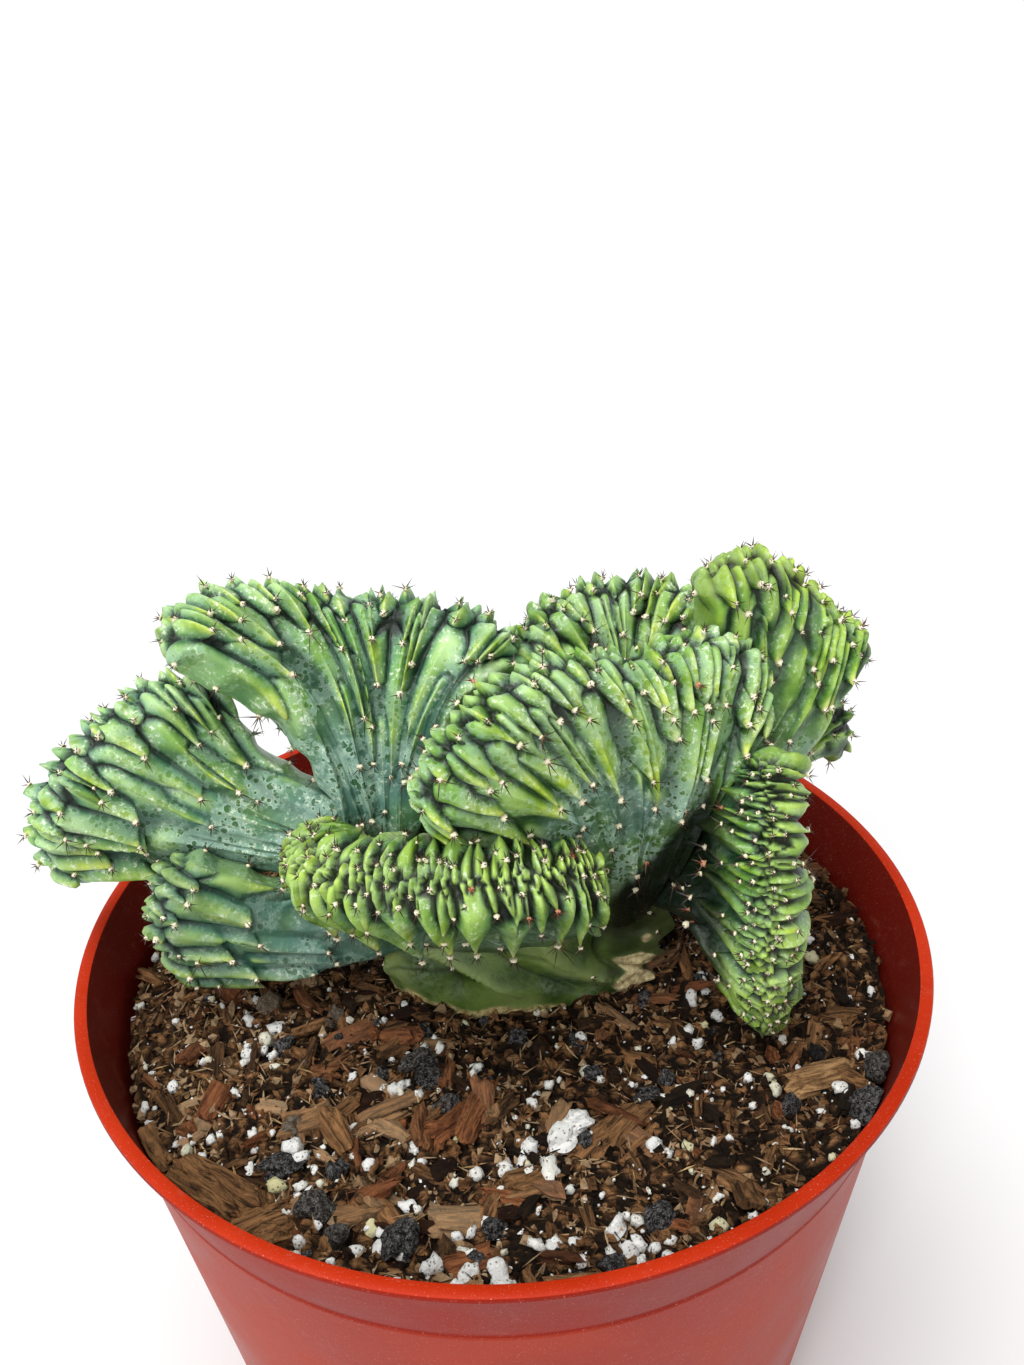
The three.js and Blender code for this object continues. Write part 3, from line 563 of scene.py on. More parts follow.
class Fan:
    """One crested fan: a curved slab whose two skins carry fingers. Lengths in millimetres."""

    ROWS = 141

    def __init__(self, name, crest, waist, foot, half, grain, seed, heart=0.0):
        self.name = name
        self.heart = heart
        self.half = half
        self.grain = grain
        self.random = np.random.default_rng(seed)
        self.length = even_points(crest, np.array([0.0]))[1]
        self.u = self.column_places()
        self.lay_sheet([crest, waist, foot])
        self.run = self.row_places()
        self.seam_start = 0.6 if name in ROLLED_FANS else 0.73
        self.fingers = {side: self.draw_fingers(side) for side in (1, -1)}

    def column_places(self, step=0.46):
        """Columns closer together at the two rounded side edges."""
        bend = np.linspace(0, math.pi / 2, 12)
        edge = EDGE_ROUNDING * (1 - np.cos(bend))
        inner = np.linspace(EDGE_ROUNDING, self.length - EDGE_ROUNDING,
                            max(6, round((self.length - 2 * EDGE_ROUNDING) / step)))
        return np.concatenate([edge[:-1], inner, (self.length - edge)[::-1][1:]]) / self.length

    def lay_sheet(self, guides):
        heights = [np.array(g, float) + [0, 0, SOIL_LEVEL] for g in guides]
        lines = np.stack([even_points(g, self.u)[0] for g in heights])
        columns = catmull_rom(lines, np.linspace(0, 1, self.ROWS)).swapaxes(0, 1)
        steps = np.linalg.norm(np.diff(columns, axis=1), axis=2)
        runs = np.concatenate([np.zeros((len(self.u), 1)), np.cumsum(steps, axis=1)], axis=1)
        self.height = runs[:, -1]
        shares = np.linspace(0, 1, self.ROWS)
        self.sheet = np.empty_like(columns)
        for i, run in enumerate(runs):
            for k in range(3):
                self.sheet[i, :, k] = np.interp(shares * run[-1], run, columns[i, :, k])
        across = np.gradient(self.sheet, self.u * self.length, axis=0)
        self.spread = np.linalg.norm(across, axis=2)
        self.across = unit(across)
        self.down = unit(np.gradient(self.sheet, axis=1))
        self.out = unit(np.cross(self.across, self.down))

    def row_places(self, fine=0.62, coarse=1.4, fine_until=33.0):
        total = self.height + self.half[0] * (math.pi / 2 - 1)
        middle = float(np.mean(total))
        fine_until = min(fine_until, 0.6 * middle)
        rows = np.concatenate([np.arange(0, fine_until, fine), np.arange(fine_until, middle, coarse),
                               [middle]])
        return total[:, None] * (rows / middle)[None, :]

    def read(self, field, share):
        place = np.clip(share, 0, 1) * (self.ROWS - 1)
        low = np.minimum(place.astype(int), self.ROWS - 2)
        w = place - low
        rows = np.arange(len(self.u))[:, None]
        if field.ndim == 3:
            w = w[..., None]
        return field[rows, low] * (1 - w) + field[rows, low + 1] * w

    def draw_fingers(self, side):
        """Every finger of one skin. Those of the back skin stand between those of the front one."""
        fingers = []
        draw = self.random.uniform
        for row in ROLLED_FINGER_KINDS if self.name in ROLLED_FANS else FINGER_KINDS:
            kind = dict(zip(FINGER_FIELDS, row))
            grain = min(self.grain, BUD_GRAIN) if kind["reach"] < BUD_REACH else self.grain
            pitch = kind["pitch"] * grain
            start = pitch * (kind["shift"] + SKIN_SHIFTS[side])
            for centre in np.arange(start % pitch, self.length, pitch):
                fingers.append(dict(
                    kind,
                    centre=centre + draw(-PLACE_JITTER, PLACE_JITTER) * pitch,
                    reach=kind["reach"] * grain * draw(*REACH_RANGE),
                    room=kind["room"] * grain * draw(*ROOM_RANGE),
                    relief=kind["relief"] * grain ** 0.7 * draw(*RELIEF_RANGE),
                    size=kind["size"] * draw(*SIZE_RANGE),
                    lean=draw(-LEAN_JITTER, LEAN_JITTER),
                    bend=draw(-BEND_JITTER, BEND_JITTER) * self.grain,
                    skew=draw(-SKEW_JITTER, SKEW_JITTER),
                    hue=draw(0, 1)))
        return fingers

    def finger_field(self, side, spread):
        """What the fingers make of one skin. Each point belongs to the finger that claims it most strongly,
        and its border goes from 0 on that finger's back to 1 where the next one begins."""
        s = self.u * self.length
        names = ("nearest", "second", "limit", "along", "relief", "lift", "keel", "hue")
        field = {name: np.zeros_like(self.run) for name in names}
        field["nearest"] += UNCLAIMED
        field["second"] += UNCLAIMED
        field["limit"] += OUT_OF_ROOM
        for owner in (side, -side):
            signed = owner * (side * self.run - self.heart)
            for finger in self.fingers[owner]:
                reach, room = finger["reach"], finger["room"]
                root = finger["root"] * reach
                margin = 2.8 * room + abs(finger["lean"]) * reach
                i0, i1 = np.searchsorted(s, [finger["centre"] - margin, finger["centre"] + margin])
                lowest = signed[i0:i1].min(axis=0, initial=999)
                highest = signed[i0:i1].max(axis=0, initial=-999)
                inside = np.flatnonzero((highest > root - 1.6 * room) & (lowest < reach + 1.2 * room))
                if i1 - i0 < 2 or not len(inside):
                    continue
                view = (slice(i0, i1), slice(inside[0], inside[-1] + 1))
                self.claim(field, view, signed[view], s[i0:i1, None], spread[view], finger, root)
        between = 2 * field["nearest"] / (field["nearest"] + field["second"])
        field["border"] = np.clip(np.maximum(between, field["limit"]), 0, 1)
        field["seam"] = smooth((between - self.seam_start) / 0.2) * smooth((1.35 - field["limit"]) / 0.3)
        return field

    @staticmethod
    def claim(field, view, d, s, spread, finger, root):
        """Gives a finger the points that it claims more strongly than those before it."""
        along = np.clip((d - root) / (finger["reach"] - root), 0, 1)
        aside = (s - ridge_place(finger, d)) * np.clip(spread, 0.4, 1)
        aside = aside * np.where(aside > 0, 1 + finger["skew"], 1 - finger["skew"])
        past = np.maximum(root - d, 0) + TIP_STEEPNESS * np.maximum(d - finger["reach"], 0)
        distance = np.hypot(aside, past)
        taper = mix(1, finger["tip"], np.clip((along - SHOULDER_SHARE) / (1 - SHOULDER_SHARE), 0, 1) ** 1.3)
        strength = finger["size"] * taper
        claim = distance / strength
        nearest, second = field["nearest"][view], field["second"][view]
        wins = claim < nearest
        second[:] = np.where(wins, nearest, np.minimum(second, claim))
        nearest[:] = np.where(wins, claim, nearest)
        values = dict(limit=distance / (finger["room"] * mix(1, taper, 0.7)), along=along)
        values.update((name, finger[name]) for name in ("relief", "lift", "keel", "hue"))
        for name, value in values.items():
            part = field[name][view]
            part[:] = np.where(wins, value, part)

    def rib_height(self, side, share):
        """Old ribs that run on from the longest fingers down to the foot."""
        pitch = RIB_PITCH * max(self.grain, 0.75)
        s = self.u[:, None] * self.length + 0.25 * pitch * side
        wave = np.abs(np.mod(s / pitch + 0.04 * np.sin(0.12 * self.run), 1) * 2 - 1)
        start = 0.5 * YOUNG_ZONE * self.grain
        fade = smooth((self.run - start) / (0.8 * YOUNG_ZONE * self.grain)) * smooth((0.97 - share) / 0.2)
        return RIB_HEIGHT * wave ** 1.3 * fade

    def skin(self, side):
        """Points, tones and directions of one skin."""
        cap = self.half[0]
        quarter = cap * math.pi / 2
        turn = np.minimum(self.run / cap, math.pi / 2)
        depth = np.where(self.run < quarter, cap * (1 - np.cos(turn)), cap + self.run - quarter)
        share = depth / self.height[:, None]
        middle = self.read(self.sheet, share)
        across = unit(self.read(self.across, share))
        down = unit(self.read(self.down, share))
        out = unit(self.read(self.out, share))
        spread = self.read(self.spread, share)
        crest, waist, foot = self.half
        t = np.clip(share, 0, 1)
        half = np.where(t < 0.5, mix(crest, waist, 2 * t), mix(waist, foot, 2 * t - 1))
        power = mix(self.length / EDGE_ROUNDING, FOOT_ROUNDING, np.sqrt(t))
        outward = (2 * self.u - 1)[:, None]
        beyond = np.abs(outward) ** power
        thickness = half * (1 - beyond) ** (1 / power) * np.sin(turn)
        face = unit(out * (side * np.sin(turn))[..., None] - down * np.cos(turn)[..., None])
        normal = unit(face * (1 - beyond)[..., None] + across * (np.sign(outward) * beyond)[..., None])
        field = self.finger_field(side, spread)
        border, along, keel = field["border"], field["along"], field["keel"]
        back = mix((1 - border ** 2) ** 0.6, (1 - border) ** 1.1, keel)
        finger = field["relief"] * back * mix(field["lift"], 1, along ** 1.1)
        edge_fade = smooth((1 - np.abs(outward)) * self.length / 2 / (0.55 * EDGE_ROUNDING))
        scale = np.clip(RELIEF_SPREAD * spread, 0.4, 1) * edge_fade
        zone = YOUNG_ZONE * self.grain
        groove = GROOVE_DEPTH * smooth((zone - self.run) / 12)
        relief = (np.maximum(finger, self.rib_height(side, t)) - groove) * scale
        droop = TIP_DROOP * finger * along * scale * np.sin(turn)
        to_edge = 1 - np.clip(thickness / np.maximum(half * np.sin(turn), 0.1), 0, 1) ** 2
        tooth = (EDGE_BULGE + TOOTH_HEIGHT * self.tooth_profile()) * to_edge
        tooth = tooth * smooth(self.run / 3) * smooth((0.9 - t) / 0.15)
        points = middle + out * (side * thickness)[..., None] + normal * relief[..., None]
        points = points + across * (np.sign(outward) * tooth)[..., None] + down * droop[..., None]
        young = smooth((1.25 * zone - self.run) / (0.5 * zone))
        # Painted shade along the seams between fingers and in the hollow.
        crease_shade = field["seam"] * edge_fade * mix(0.3, 1, smooth((0.8 * zone - self.run) / (0.5 * zone)))
        crease_shade = np.maximum(crease_shade, hollow_shade(points))
        tones = np.stack([mix(0.55, back, edge_fade), crease_shade, t, along, field["hue"], young], -1)
        return points, tones, normal, down, across

    def tooth_profile(self):
        """Pointed teeth with hollows between them, along a side edge."""
        place = np.mod((self.run - TOOTH_START) / TOOTH_PITCH + 0.5, 1)
        return (1 - np.abs(2 * place - 1)) ** 1.4

    def build(self, material, areoles):
        """Both skins, joined along the crest and the side edges and closed at the foot."""
        mesh = MeshData()
        grid = np.arange(self.run.size).reshape(self.run.shape)
        back_grid = grid + grid.size
        for joined in (np.s_[:, 0], 0, -1):
            back_grid[joined] = grid[joined]
        skins = {side: self.skin(side) for side in (1, -1)}
        for side in (1, -1):
            mesh.add(skins[side][0], np.zeros((0, 4)), skins[side][1])
        mesh.join(grid_faces(grid, True))
        mesh.join(grid_faces(back_grid, False))
        foot = np.stack([grid[:-1, -1], grid[1:, -1], back_grid[1:, -1], back_grid[:-1, -1]], 1)
        mesh.join(foot[1:-1])
        self.gather_areoles(skins, areoles)
        return mesh.build(self.name, material)

    def gather_areoles(self, skins, areoles):
        s = self.u * self.length
        for side in (1, -1):
            for finger in self.fingers[side]:
                reach = finger["reach"] - 0.5
                place = ridge_place(finger, reach)
                run = abs(reach + side * self.heart)
                points, tones, normal, down, across = skins[side if reach + side * self.heart > 0 else -side]
                if not EDGE_ROUNDING * 0.7 < place < self.length - EDGE_ROUNDING * 0.7:
                    continue
                i = int(np.argmin(np.abs(s - place)))
                if run > 0.9 * self.run[i, -1]:
                    continue
                j = int(np.argmin(np.abs(self.run[i] - run)))
                if tones[i, j, 0] < 0.35:
                    continue
                aim = unit(normal[i, j] + 0.5 * down[i, j])
                areoles.append((points[i, j], aim, across[i, j], min(1, finger["room"] / 4)))
            if side > 0:
                self.gather_edge_areoles(skins[side], areoles)

    def gather_edge_areoles(self, skin, areoles):
        points, _, normal, down, across = skin
        for i, sign in ((0, -1), (len(self.u) - 1, 1)):
            for k in range(9):
                run = TOOTH_START + k * TOOTH_PITCH
                if run > 0.86 * self.run[i, -1]:
                    break
                j = int(np.argmin(np.abs(self.run[i] - run)))
                aim = unit(sign * across[i, j] - 0.3 * down[i, j])
                areoles.append((points[i, j], aim, normal[i, j], 0.8))


# ------------------------------------------------------------------ the cactus: areoles

def tuft_template(sides=7):
    """A low woolly dome with a ragged top, radius 1."""
    rings = [(1.0, -0.25), (0.95, 0.3), (0.55, 0.75)]
    points = [circle(radius, [2 * math.pi * (k + 0.5 * n) / sides for k in range(sides)], height)
              for n, (radius, height) in enumerate(rings)]
    grid = np.arange(len(rings) * sides).reshape(-1, sides)
    faces = [grid_triangles(closed(grid), False), spokes(grid[-1], grid.size, True)]
    return np.concatenate([*points, [(0, 0, 0.9)]]), np.concatenate(faces)


def add_spine(mesh, root, direction, length, radius, hue):
    direction = unit(np.asarray(direction, float))
    side = unit(np.cross(direction, [0.31, 0.52, 0.79]))
    third = np.cross(direction, side)
    turns = [2 * math.pi * k / 3 for k in range(3)]
    ring = np.array([math.cos(t) * side + math.sin(t) * third for t in turns])
    points = np.concatenate([root + radius * ring, root + 0.5 * length * direction + 0.65 * radius * ring,
                             [root + length * direction]])
    faces = [(0, 1, 4), (0, 4, 3), (1, 2, 5), (1, 5, 4), (2, 0, 3), (2, 3, 5),
             (3, 4, 6), (4, 5, 6), (5, 3, 6)]
    tones = [(0, hue, 0)] * 3 + [(0.5, hue, 0)] * 3 + [(1, hue, 0)]
    mesh.add(points, faces, tones)


# From the smallest areole to the largest.
TUFT_RADII = (0.38, 0.72)
SPINE_LENGTHS = (1.4, 2.5)
CENTRAL_SPINE_LENGTHS = (1.8, 3.4)
SPINE_RADIUS = 0.17
CENTRAL_SPINE_RADIUS = 0.2
LONG_SPINED_SHARE = 0.05  # of the areoles
LONG_SPINE_STRETCH = 2.2
BROWN_SHARE = 0.03        # of the areoles
BROWN_HUE = 0.8


def build_areoles(areoles, wool, spines, random):
    """A tuft of wool with spines round a central one, at each (place, aim, sideways direction, size)."""
    dome, dome_faces = tuft_template()
    tufts, thorns = MeshData(), MeshData()
    for place, aim, across, size in areoles:
        side = unit(across - aim * np.dot(across, aim))
        third = np.cross(aim, side)
        radius = mix(*TUFT_RADII, size) * random.uniform(0.75, 1.25)
        ragged = dome * random.uniform(0.65, 1.35, (len(dome), 1))
        local = np.stack([side, third, aim])
        hue = BROWN_HUE if random.uniform() < BROWN_SHARE else random.uniform(0, 0.03)
        tones = np.stack([np.full(len(dome), hue), np.clip(dome[:, 2], 0, 1), np.zeros(len(dome))], 1)
        tufts.add(place + radius * ragged @ local, dome_faces, tones)
        count = int(random.integers(3, 6))
        start = random.uniform(0, 2 * math.pi)
        stretch = LONG_SPINE_STRETCH if random.uniform() < LONG_SPINED_SHARE else 1
        for k in range(count):
            turn = start + 2 * math.pi * (k + random.uniform(-0.2, 0.2)) / count
            tilt = random.uniform(0.7, 1.15)
            outward = math.cos(turn) * side + math.sin(turn) * third
            direction = math.cos(tilt) * aim + math.sin(tilt) * outward
            length = mix(*SPINE_LENGTHS, size) * random.uniform(0.7, 1.25) * stretch
            add_spine(thorns, place + 0.3 * radius * aim, direction, length, SPINE_RADIUS, hue)
        direction = unit(aim + 0.25 * random.normal(size=3))
        length = mix(*CENTRAL_SPINE_LENGTHS, size) * random.uniform(0.7, 1.2)
        add_spine(thorns, place + 0.3 * radius * aim, direction, length, CENTRAL_SPINE_RADIUS, hue)
    return tufts.build("areole_wool", wool), thorns.build("spines", spines, shade_smooth=False)


def build_cactus():
    waxy = skin_material("waxy_skin", 1.0)
    fresh = skin_material("fresh_skin", 0.35)
    rolled = skin_material("rolled_skin", 0.5, cool=0.08)
    # The low left fan sits under the others: its skin carries painted shade over the whole fan.
    shaded = skin_material("shaded_skin", 0.8, shade=0.64, cool=0.35)
    cool = skin_material("cool_skin", 1.0, cool=0.26)
    skins = dict.fromkeys(FRESH_FANS, fresh) | dict.fromkeys(ROLLED_FANS, rolled)
    skins |= dict.fromkeys(COOL_FANS, cool) | {"fan_low_left": shaded}
    areoles = []
    pieces = []
    for number, (name, shape) in enumerate(FANS.items()):
        fan = Fan(name, seed=100 + number, **shape)
        pieces.append(fan.build(skins.get(name, waxy), areoles))
    pieces.append(build_trunk(trunk_material(), areoles))
    pieces += build_areoles(areoles, wool_material(), spine_material(), np.random.default_rng(7))
    for piece in pieces:
        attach(piece, "root")
    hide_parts("cactus")


# ------------------------------------------------------------------ the cactus: trunk

# Rings of the trunk: height above the soil, centre x and y, half width and half depth. Those from 10 to 39
# are the CAD's, and the last one closes round its top point.
TRUNK_RINGS = [
    *[(height, *TRUNK_CENTRE, 0.5 * TRUNK_WIDTH, 0.5 * TRUNK_DEPTH) for height in (-4, 4, 10)],
    (19, 6, 0, 36, 15.5),
    (27, 9, 1, 38, 13.5),
    (34, 11, 2, 36, 10.5),
    (39, 12, 2, 28, 6.5),
    (41, 13, 2, 6, 2),
]


def trunk_material():
    """Old dark skin, with painted highlight on the ridges of its folds and painted shade in the folds and the
    hollow, a straw-coloured dry edge along the soil and a corky patch. The tones hold the ridge height, the
    painted shade in the creases, the dry edge and the cork."""
    s = Shader("trunk_skin")
    ridge, crease_shade, dry = s.tone()
    cork, _, _ = s.tone("mark")
    cloudy = s.noise(110.0, 4.0, 0.6)
    fine = s.noise(800.0, 4.0, 0.7)
    colour = s.mottle(cloudy, 0.32, 0.68, (48, 74, 22), (104, 128, 60))
    # Painted highlight on the ridges of the folds.
    colour = s.blend(s.times(s.step(ridge, 0.5, 1.0), 0.7), colour, srgb(146, 166, 96))
    veil = s.times(s.step(s.noise(70.0, 3.0), 0.5, 0.7), s.step(fine, 0.4, 0.62), 0.5)
    colour = s.blend(veil, colour, srgb(132, 150, 120))
    # Painted shade in the folds and in the hollow.
    colour = s.blend(s.times(crease_shade, 0.75), colour, srgb(20, 30, 12))
    straw = s.mottle(fine, 0.35, 0.65, (126, 110, 62), (206, 190, 132))
    colour = s.blend(s.times(dry, s.step(cloudy, 0.25, 0.45)), colour, straw)
    bark = s.mottle(fine, 0.3, 0.7, (150, 132, 90), (222, 208, 158))
    colour = s.blend(s.step(cork, 0.35, 0.55), colour, bark)
    rough = s.step(s.math("ADD", cork, dry), 0.2, 0.7, 0.4, 0.8)
    return s.finish(colour, rough, s.bump(fine, 0.0005, 0.6))


TRUNK_ROWS = 90
TRUNK_SIDES = 320
TRUNK_TOP = 41.0          # height above the soil
TRUNK_FOLDS = 8
TRUNK_LEAN = 0.034        # how far the folds turn round the trunk, in radians a mm
FOLD_RELIEF = 4.6
CROSS_PITCH = 17.0        # the shallow folds across the main ones
CROSS_RELIEF = 1.9
CORK_TURN = -0.62         # the corky patch: its turn round the trunk, in radians, and its size
CORK_WIDTH = 0.26
CORK_HEIGHT = 13.0
CORK_WAVES = [(13, 0.5), (6.3, 0.4), (3.1, 0.3)]
TRUNK_AREOLES = 24


def triangle_wave(place):
    """1 at each whole place, 0 halfway between."""
    return np.abs(np.mod(place, 1) * 2 - 1)


def build_trunk(material, areoles):
    """The old woody base: broad leaning folds over the CAD's rings, crossed by shallow ones."""
    rings = np.array(TRUNK_RINGS, float)
    levels, knots = np.linspace(0, 1, TRUNK_ROWS), np.linspace(0, 1, len(rings))
    height, x, y, wide, deep = (np.interp(levels, knots, rings[:, k])[:, None] for k in range(5))
    turn = full_turn(TRUNK_SIDES)[None, :]
    lean = turn + TRUNK_LEAN * height + 0.12 * np.sin(0.3 * height + 2 * turn)
    folds = TRUNK_FOLDS * lean / (2 * math.pi)
    fold = triangle_wave(folds)
    cross = triangle_wave((height + 9 * np.sin(turn + 0.6)) / CROSS_PITCH + 0.5 * np.floor(folds))
    fade = smooth((height - 0.5) / 7) * smooth((TRUNK_TOP - height) / 8)
    relief = FOLD_RELIEF * (fold ** 0.75 - 0.6) * fade + CROSS_RELIEF * (cross - 0.5) * fade * fold
    from_cork = np.abs(np.mod(turn - CORK_TURN + math.pi, 2 * math.pi) - math.pi) / CORK_WIDTH
    cork = smooth(1.5 - from_cork - np.maximum(height, 0) / CORK_HEIGHT
                  + 0.3 * np.sin(9 * turn + 0.9 * height))
    lumps = waves(*np.broadcast_arrays(18 * turn, 3 * height), CORK_WAVES)
    relief = relief * (1 - 0.7 * cork) + cork * (1.2 + lumps)
    bulge = 1 + relief / np.maximum(deep, 8)
    points = np.stack([x + wide * bulge * np.cos(turn), y + deep * bulge * np.sin(turn),
                       np.broadcast_to(SOIL_LEVEL + height, bulge.shape)], -1)
    # Painted shade in the folds, where they cross, and in the hollow; none on the cork.
    crease_shade = (smooth((0.16 - fold) / 0.16) + 0.7 * smooth((0.12 - cross) / 0.12)) * fade
    crease_shade = np.maximum(crease_shade, hollow_shade(points)) * (1 - cork)
    dry = smooth((0.2 + 0.8 * np.sin(7 * turn) + 0.6 * np.sin(17 * turn) - height) / 0.8)
    nothing = np.zeros_like(cork)
    tones = np.stack([fold, np.clip(crease_shade, 0, 1), dry, cork, nothing, nothing], -1)
    mesh = MeshData()
    grid = mesh.add_tube(points, False, tones)
    mesh.cap_ends(grid, [points[0].mean(axis=0), points[-1].mean(axis=0)], tones[[0, -1], 0])
    for k in range(TRUNK_AREOLES):
        row = int(TRUNK_ROWS * (0.3 + 0.2 * (k % 3)) + 6 * math.sin(k))
        ridge = (np.mod(k // 3 + 1.0, TRUNK_FOLDS) / TRUNK_FOLDS) * 2 * math.pi
        ridge -= TRUNK_LEAN * float(height[row, 0])
        column = int(round(ridge / (2 * math.pi) * TRUNK_SIDES)) % TRUNK_SIDES
        normal = np.array([math.cos(ridge) / wide[row, 0], math.sin(ridge) / deep[row, 0], 0])
        areoles.append((points[row, column], unit(normal), np.array([0, 0, 1.0]), 0.4))
    return mesh.build("trunk", material)


# ------------------------------------------------------------------ the pot

def pot_material():
    """Thin plastic: dusty satin body, a collar and a rim outer face darker with painted shade, a rim top
    brighter with painted light and an inside darker with painted shade. The tones hold the zone, from the
    body, 0, over the collar to the rim, 1, and whether it is the inside."""
    s = Shader("pot_plastic")
    zone, inside, _ = s.tone()
    cloud = s.noise(22.0, 3.0)
    dust = s.step(s.noise(2600.0, 2.0, 0.7), 0.62, 0.74)
    scuff = s.step(s.noise(140.0, 5.0, 0.7, warp=1.2), 0.56, 0.75)
    body = s.mottle(cloud, 0.3, 0.7, (140, 34, 16), (158, 54, 34))
    collar = s.mottle(cloud, 0.3, 0.7, (126, 20, 2), (142, 28, 6))
    rim = s.mottle(cloud, 0.3, 0.7, (162, 36, 6), (184, 46, 12))
    # Painted shade on the collar and the rim's outer face, painted light on the rim's top.
    colour = s.blend(s.step(zone, 0.2, 0.45), body, collar)
    colour = s.blend(s.step(zone, 0.7, 0.95), colour, rim)
    # Painted shade on the inside of the wall.
    colour = s.blend(inside, colour, srgb(104, 20, 11))
    colour = s.blend(s.times(scuff, 0.1), colour, srgb(200, 136, 118))
    colour = s.blend(s.times(dust, 0.35), colour, srgb(226, 190, 172))
    rough = s.step(cloud, 0.3, 0.7, 0.34, 0.5)
    return s.finish(colour, rough, s.bump(s.noise(300.0, 3.0), 0.0002, 0.35), Specular_IOR_Level=0.1)


def pot_radius(height):
    """The pot's outside radius: a long cone, then the collar's own slope."""
    collar_foot = POT_HEIGHT - COLLAR_HEIGHT
    return np.interp(height, [0, collar_foot, POT_HEIGHT - RIM_THICKNESS],
                     [POT_BASE_RADIUS, COLLAR_FOOT_RADIUS, POT_RIM_RADIUS - RIM_LIP])


def wall_inside(height):
    return np.minimum(pot_radius(height) - POT_WALL, POT_RIM_RADIUS - RIM_WIDTH)


def pot_profile(drain_edge):
    """Radius, height and zone tones up the outside, over the rim and back down the inside to the floor."""
    collar_foot = POT_HEIGHT - COLLAR_HEIGHT
    under_rim = POT_HEIGHT - RIM_THICKNESS
    outer, ring = POT_RIM_RADIUS, POT_RIM_RADIUS - RIM_WIDTH
    body, collar, rim, inner = (0, 0), (0.5, 0), (1, 0), (0, 1)
    wall = [*np.linspace(1.5, collar_foot - 1.8, 16), collar_foot - 1.3, collar_foot - 0.8]
    collar_wall = [collar_foot + 1.1, collar_foot + 1.6, *np.linspace(collar_foot + 3, under_rim - 0.4, 5)]
    return [
        (drain_edge, 0, body), (POT_BASE_RADIUS - 1.5, 0, body), (POT_BASE_RADIUS - 0.5, 0.4, body),
        *[(pot_radius(z), z, body) for z in wall],
        (COLLAR_FOOT_RADIUS - 0.35, collar_foot - 0.2, collar),
        (COLLAR_FOOT_RADIUS + 0.35, collar_foot + 0.6, collar),
        *[(pot_radius(z), z, collar) for z in collar_wall],
        # The rim's underside and outer face take the collar's zone and its painted shade.
        (outer - RIM_LIP + 0.1, under_rim, collar), (outer - 0.3, under_rim + 0.05, collar),
        (outer, under_rim + 0.4, collar), (outer, POT_HEIGHT - 0.5, collar),
        (outer - 0.15, POT_HEIGHT - 0.15, rim), (outer - 0.5, POT_HEIGHT, rim),
        (ring + 0.4, POT_HEIGHT, rim), (ring + 0.08, POT_HEIGHT - 0.15, rim), (ring, POT_HEIGHT - 0.5, inner),
        *[(wall_inside(z), z, inner) for z in np.linspace(POT_HEIGHT - 2, POT_FLOOR, 9)],
        (drain_edge, POT_FLOOR, inner),
    ]


def at_hole(outline, k, height):
    """A flat outline about the first drain hole, brought to the kth hole and to a height."""
    turn = 2 * math.pi * k / DRAIN_HOLES
    c, s = math.cos(turn), math.sin(turn)
    return np.column_stack([outline @ np.array([[c, s], [-s, c]]), np.full(len(outline), height)])


DRAIN_MARGIN = 10.0       # the drained part of the floor reaches this far each side of the holes' circle
POT_SEGMENTS = 24 * DRAIN_HOLES


def drained_floor(mesh, height, upward, tone):
    """A ring of the pot's floor with its drain holes, at one height, and the disc inside that ring."""
    inner_edge, outer_edge = DRAIN_HOLE_CIRCLE - DRAIN_MARGIN, DRAIN_HOLE_CIRCLE + DRAIN_MARGIN
    half = math.pi / DRAIN_HOLES
    arc = np.linspace(-half, half, 25)
    side = np.linspace(inner_edge, outer_edge, 13)[1:-1]
    polar = [(inner_edge, a) for a in arc] + [(r, half) for r in side]
    polar += [(outer_edge, a) for a in arc[::-1]] + [(r, -half) for r in side[::-1]]
    outline = np.array([(r * math.cos(a), r * math.sin(a)) for r, a in polar])
    away = outline - [DRAIN_HOLE_CIRCLE, 0]
    hole = [DRAIN_HOLE_CIRCLE, 0] + DRAIN_HOLE_RADIUS * away / np.linalg.norm(away, axis=1, keepdims=True)
    for k in range(DRAIN_HOLES):
        mesh.add_tube([at_hole(outline, k, height), at_hole(hole, k, height)], upward, tone)
    disc = circle(inner_edge, full_turn(POT_SEGMENTS), height) + [(0, 0, height)]
    mesh.add(disc, spokes(np.arange(POT_SEGMENTS), POT_SEGMENTS, upward), tone)
    return hole


def build_pot():
    mesh = MeshData()
    turn = full_turn(POT_SEGMENTS)
    profile = pot_profile(DRAIN_HOLE_CIRCLE + DRAIN_MARGIN)
    tones = [[(*zone, z / POT_HEIGHT)] * POT_SEGMENTS for _, z, zone in profile]
    mesh.add_tube([circle(r, turn, z) for r, z, _ in profile], False, tones)
    hole = drained_floor(mesh, 0, False, (0, 0, 0))
    drained_floor(mesh, POT_FLOOR, True, (0, 1, 0))
    for k in range(DRAIN_HOLES):
        mesh.add_tube([at_hole(hole, k, z) for z in (0, POT_FLOOR)], True, (0, 0, 0))
    pot = mesh.build("nursery_pot", pot_material(), merge=True)
    pot.data.set_sharp_from_angle(angle=math.radians(32))
    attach(pot, "root")
    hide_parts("pot")


# ------------------------------------------------------------------ the soil

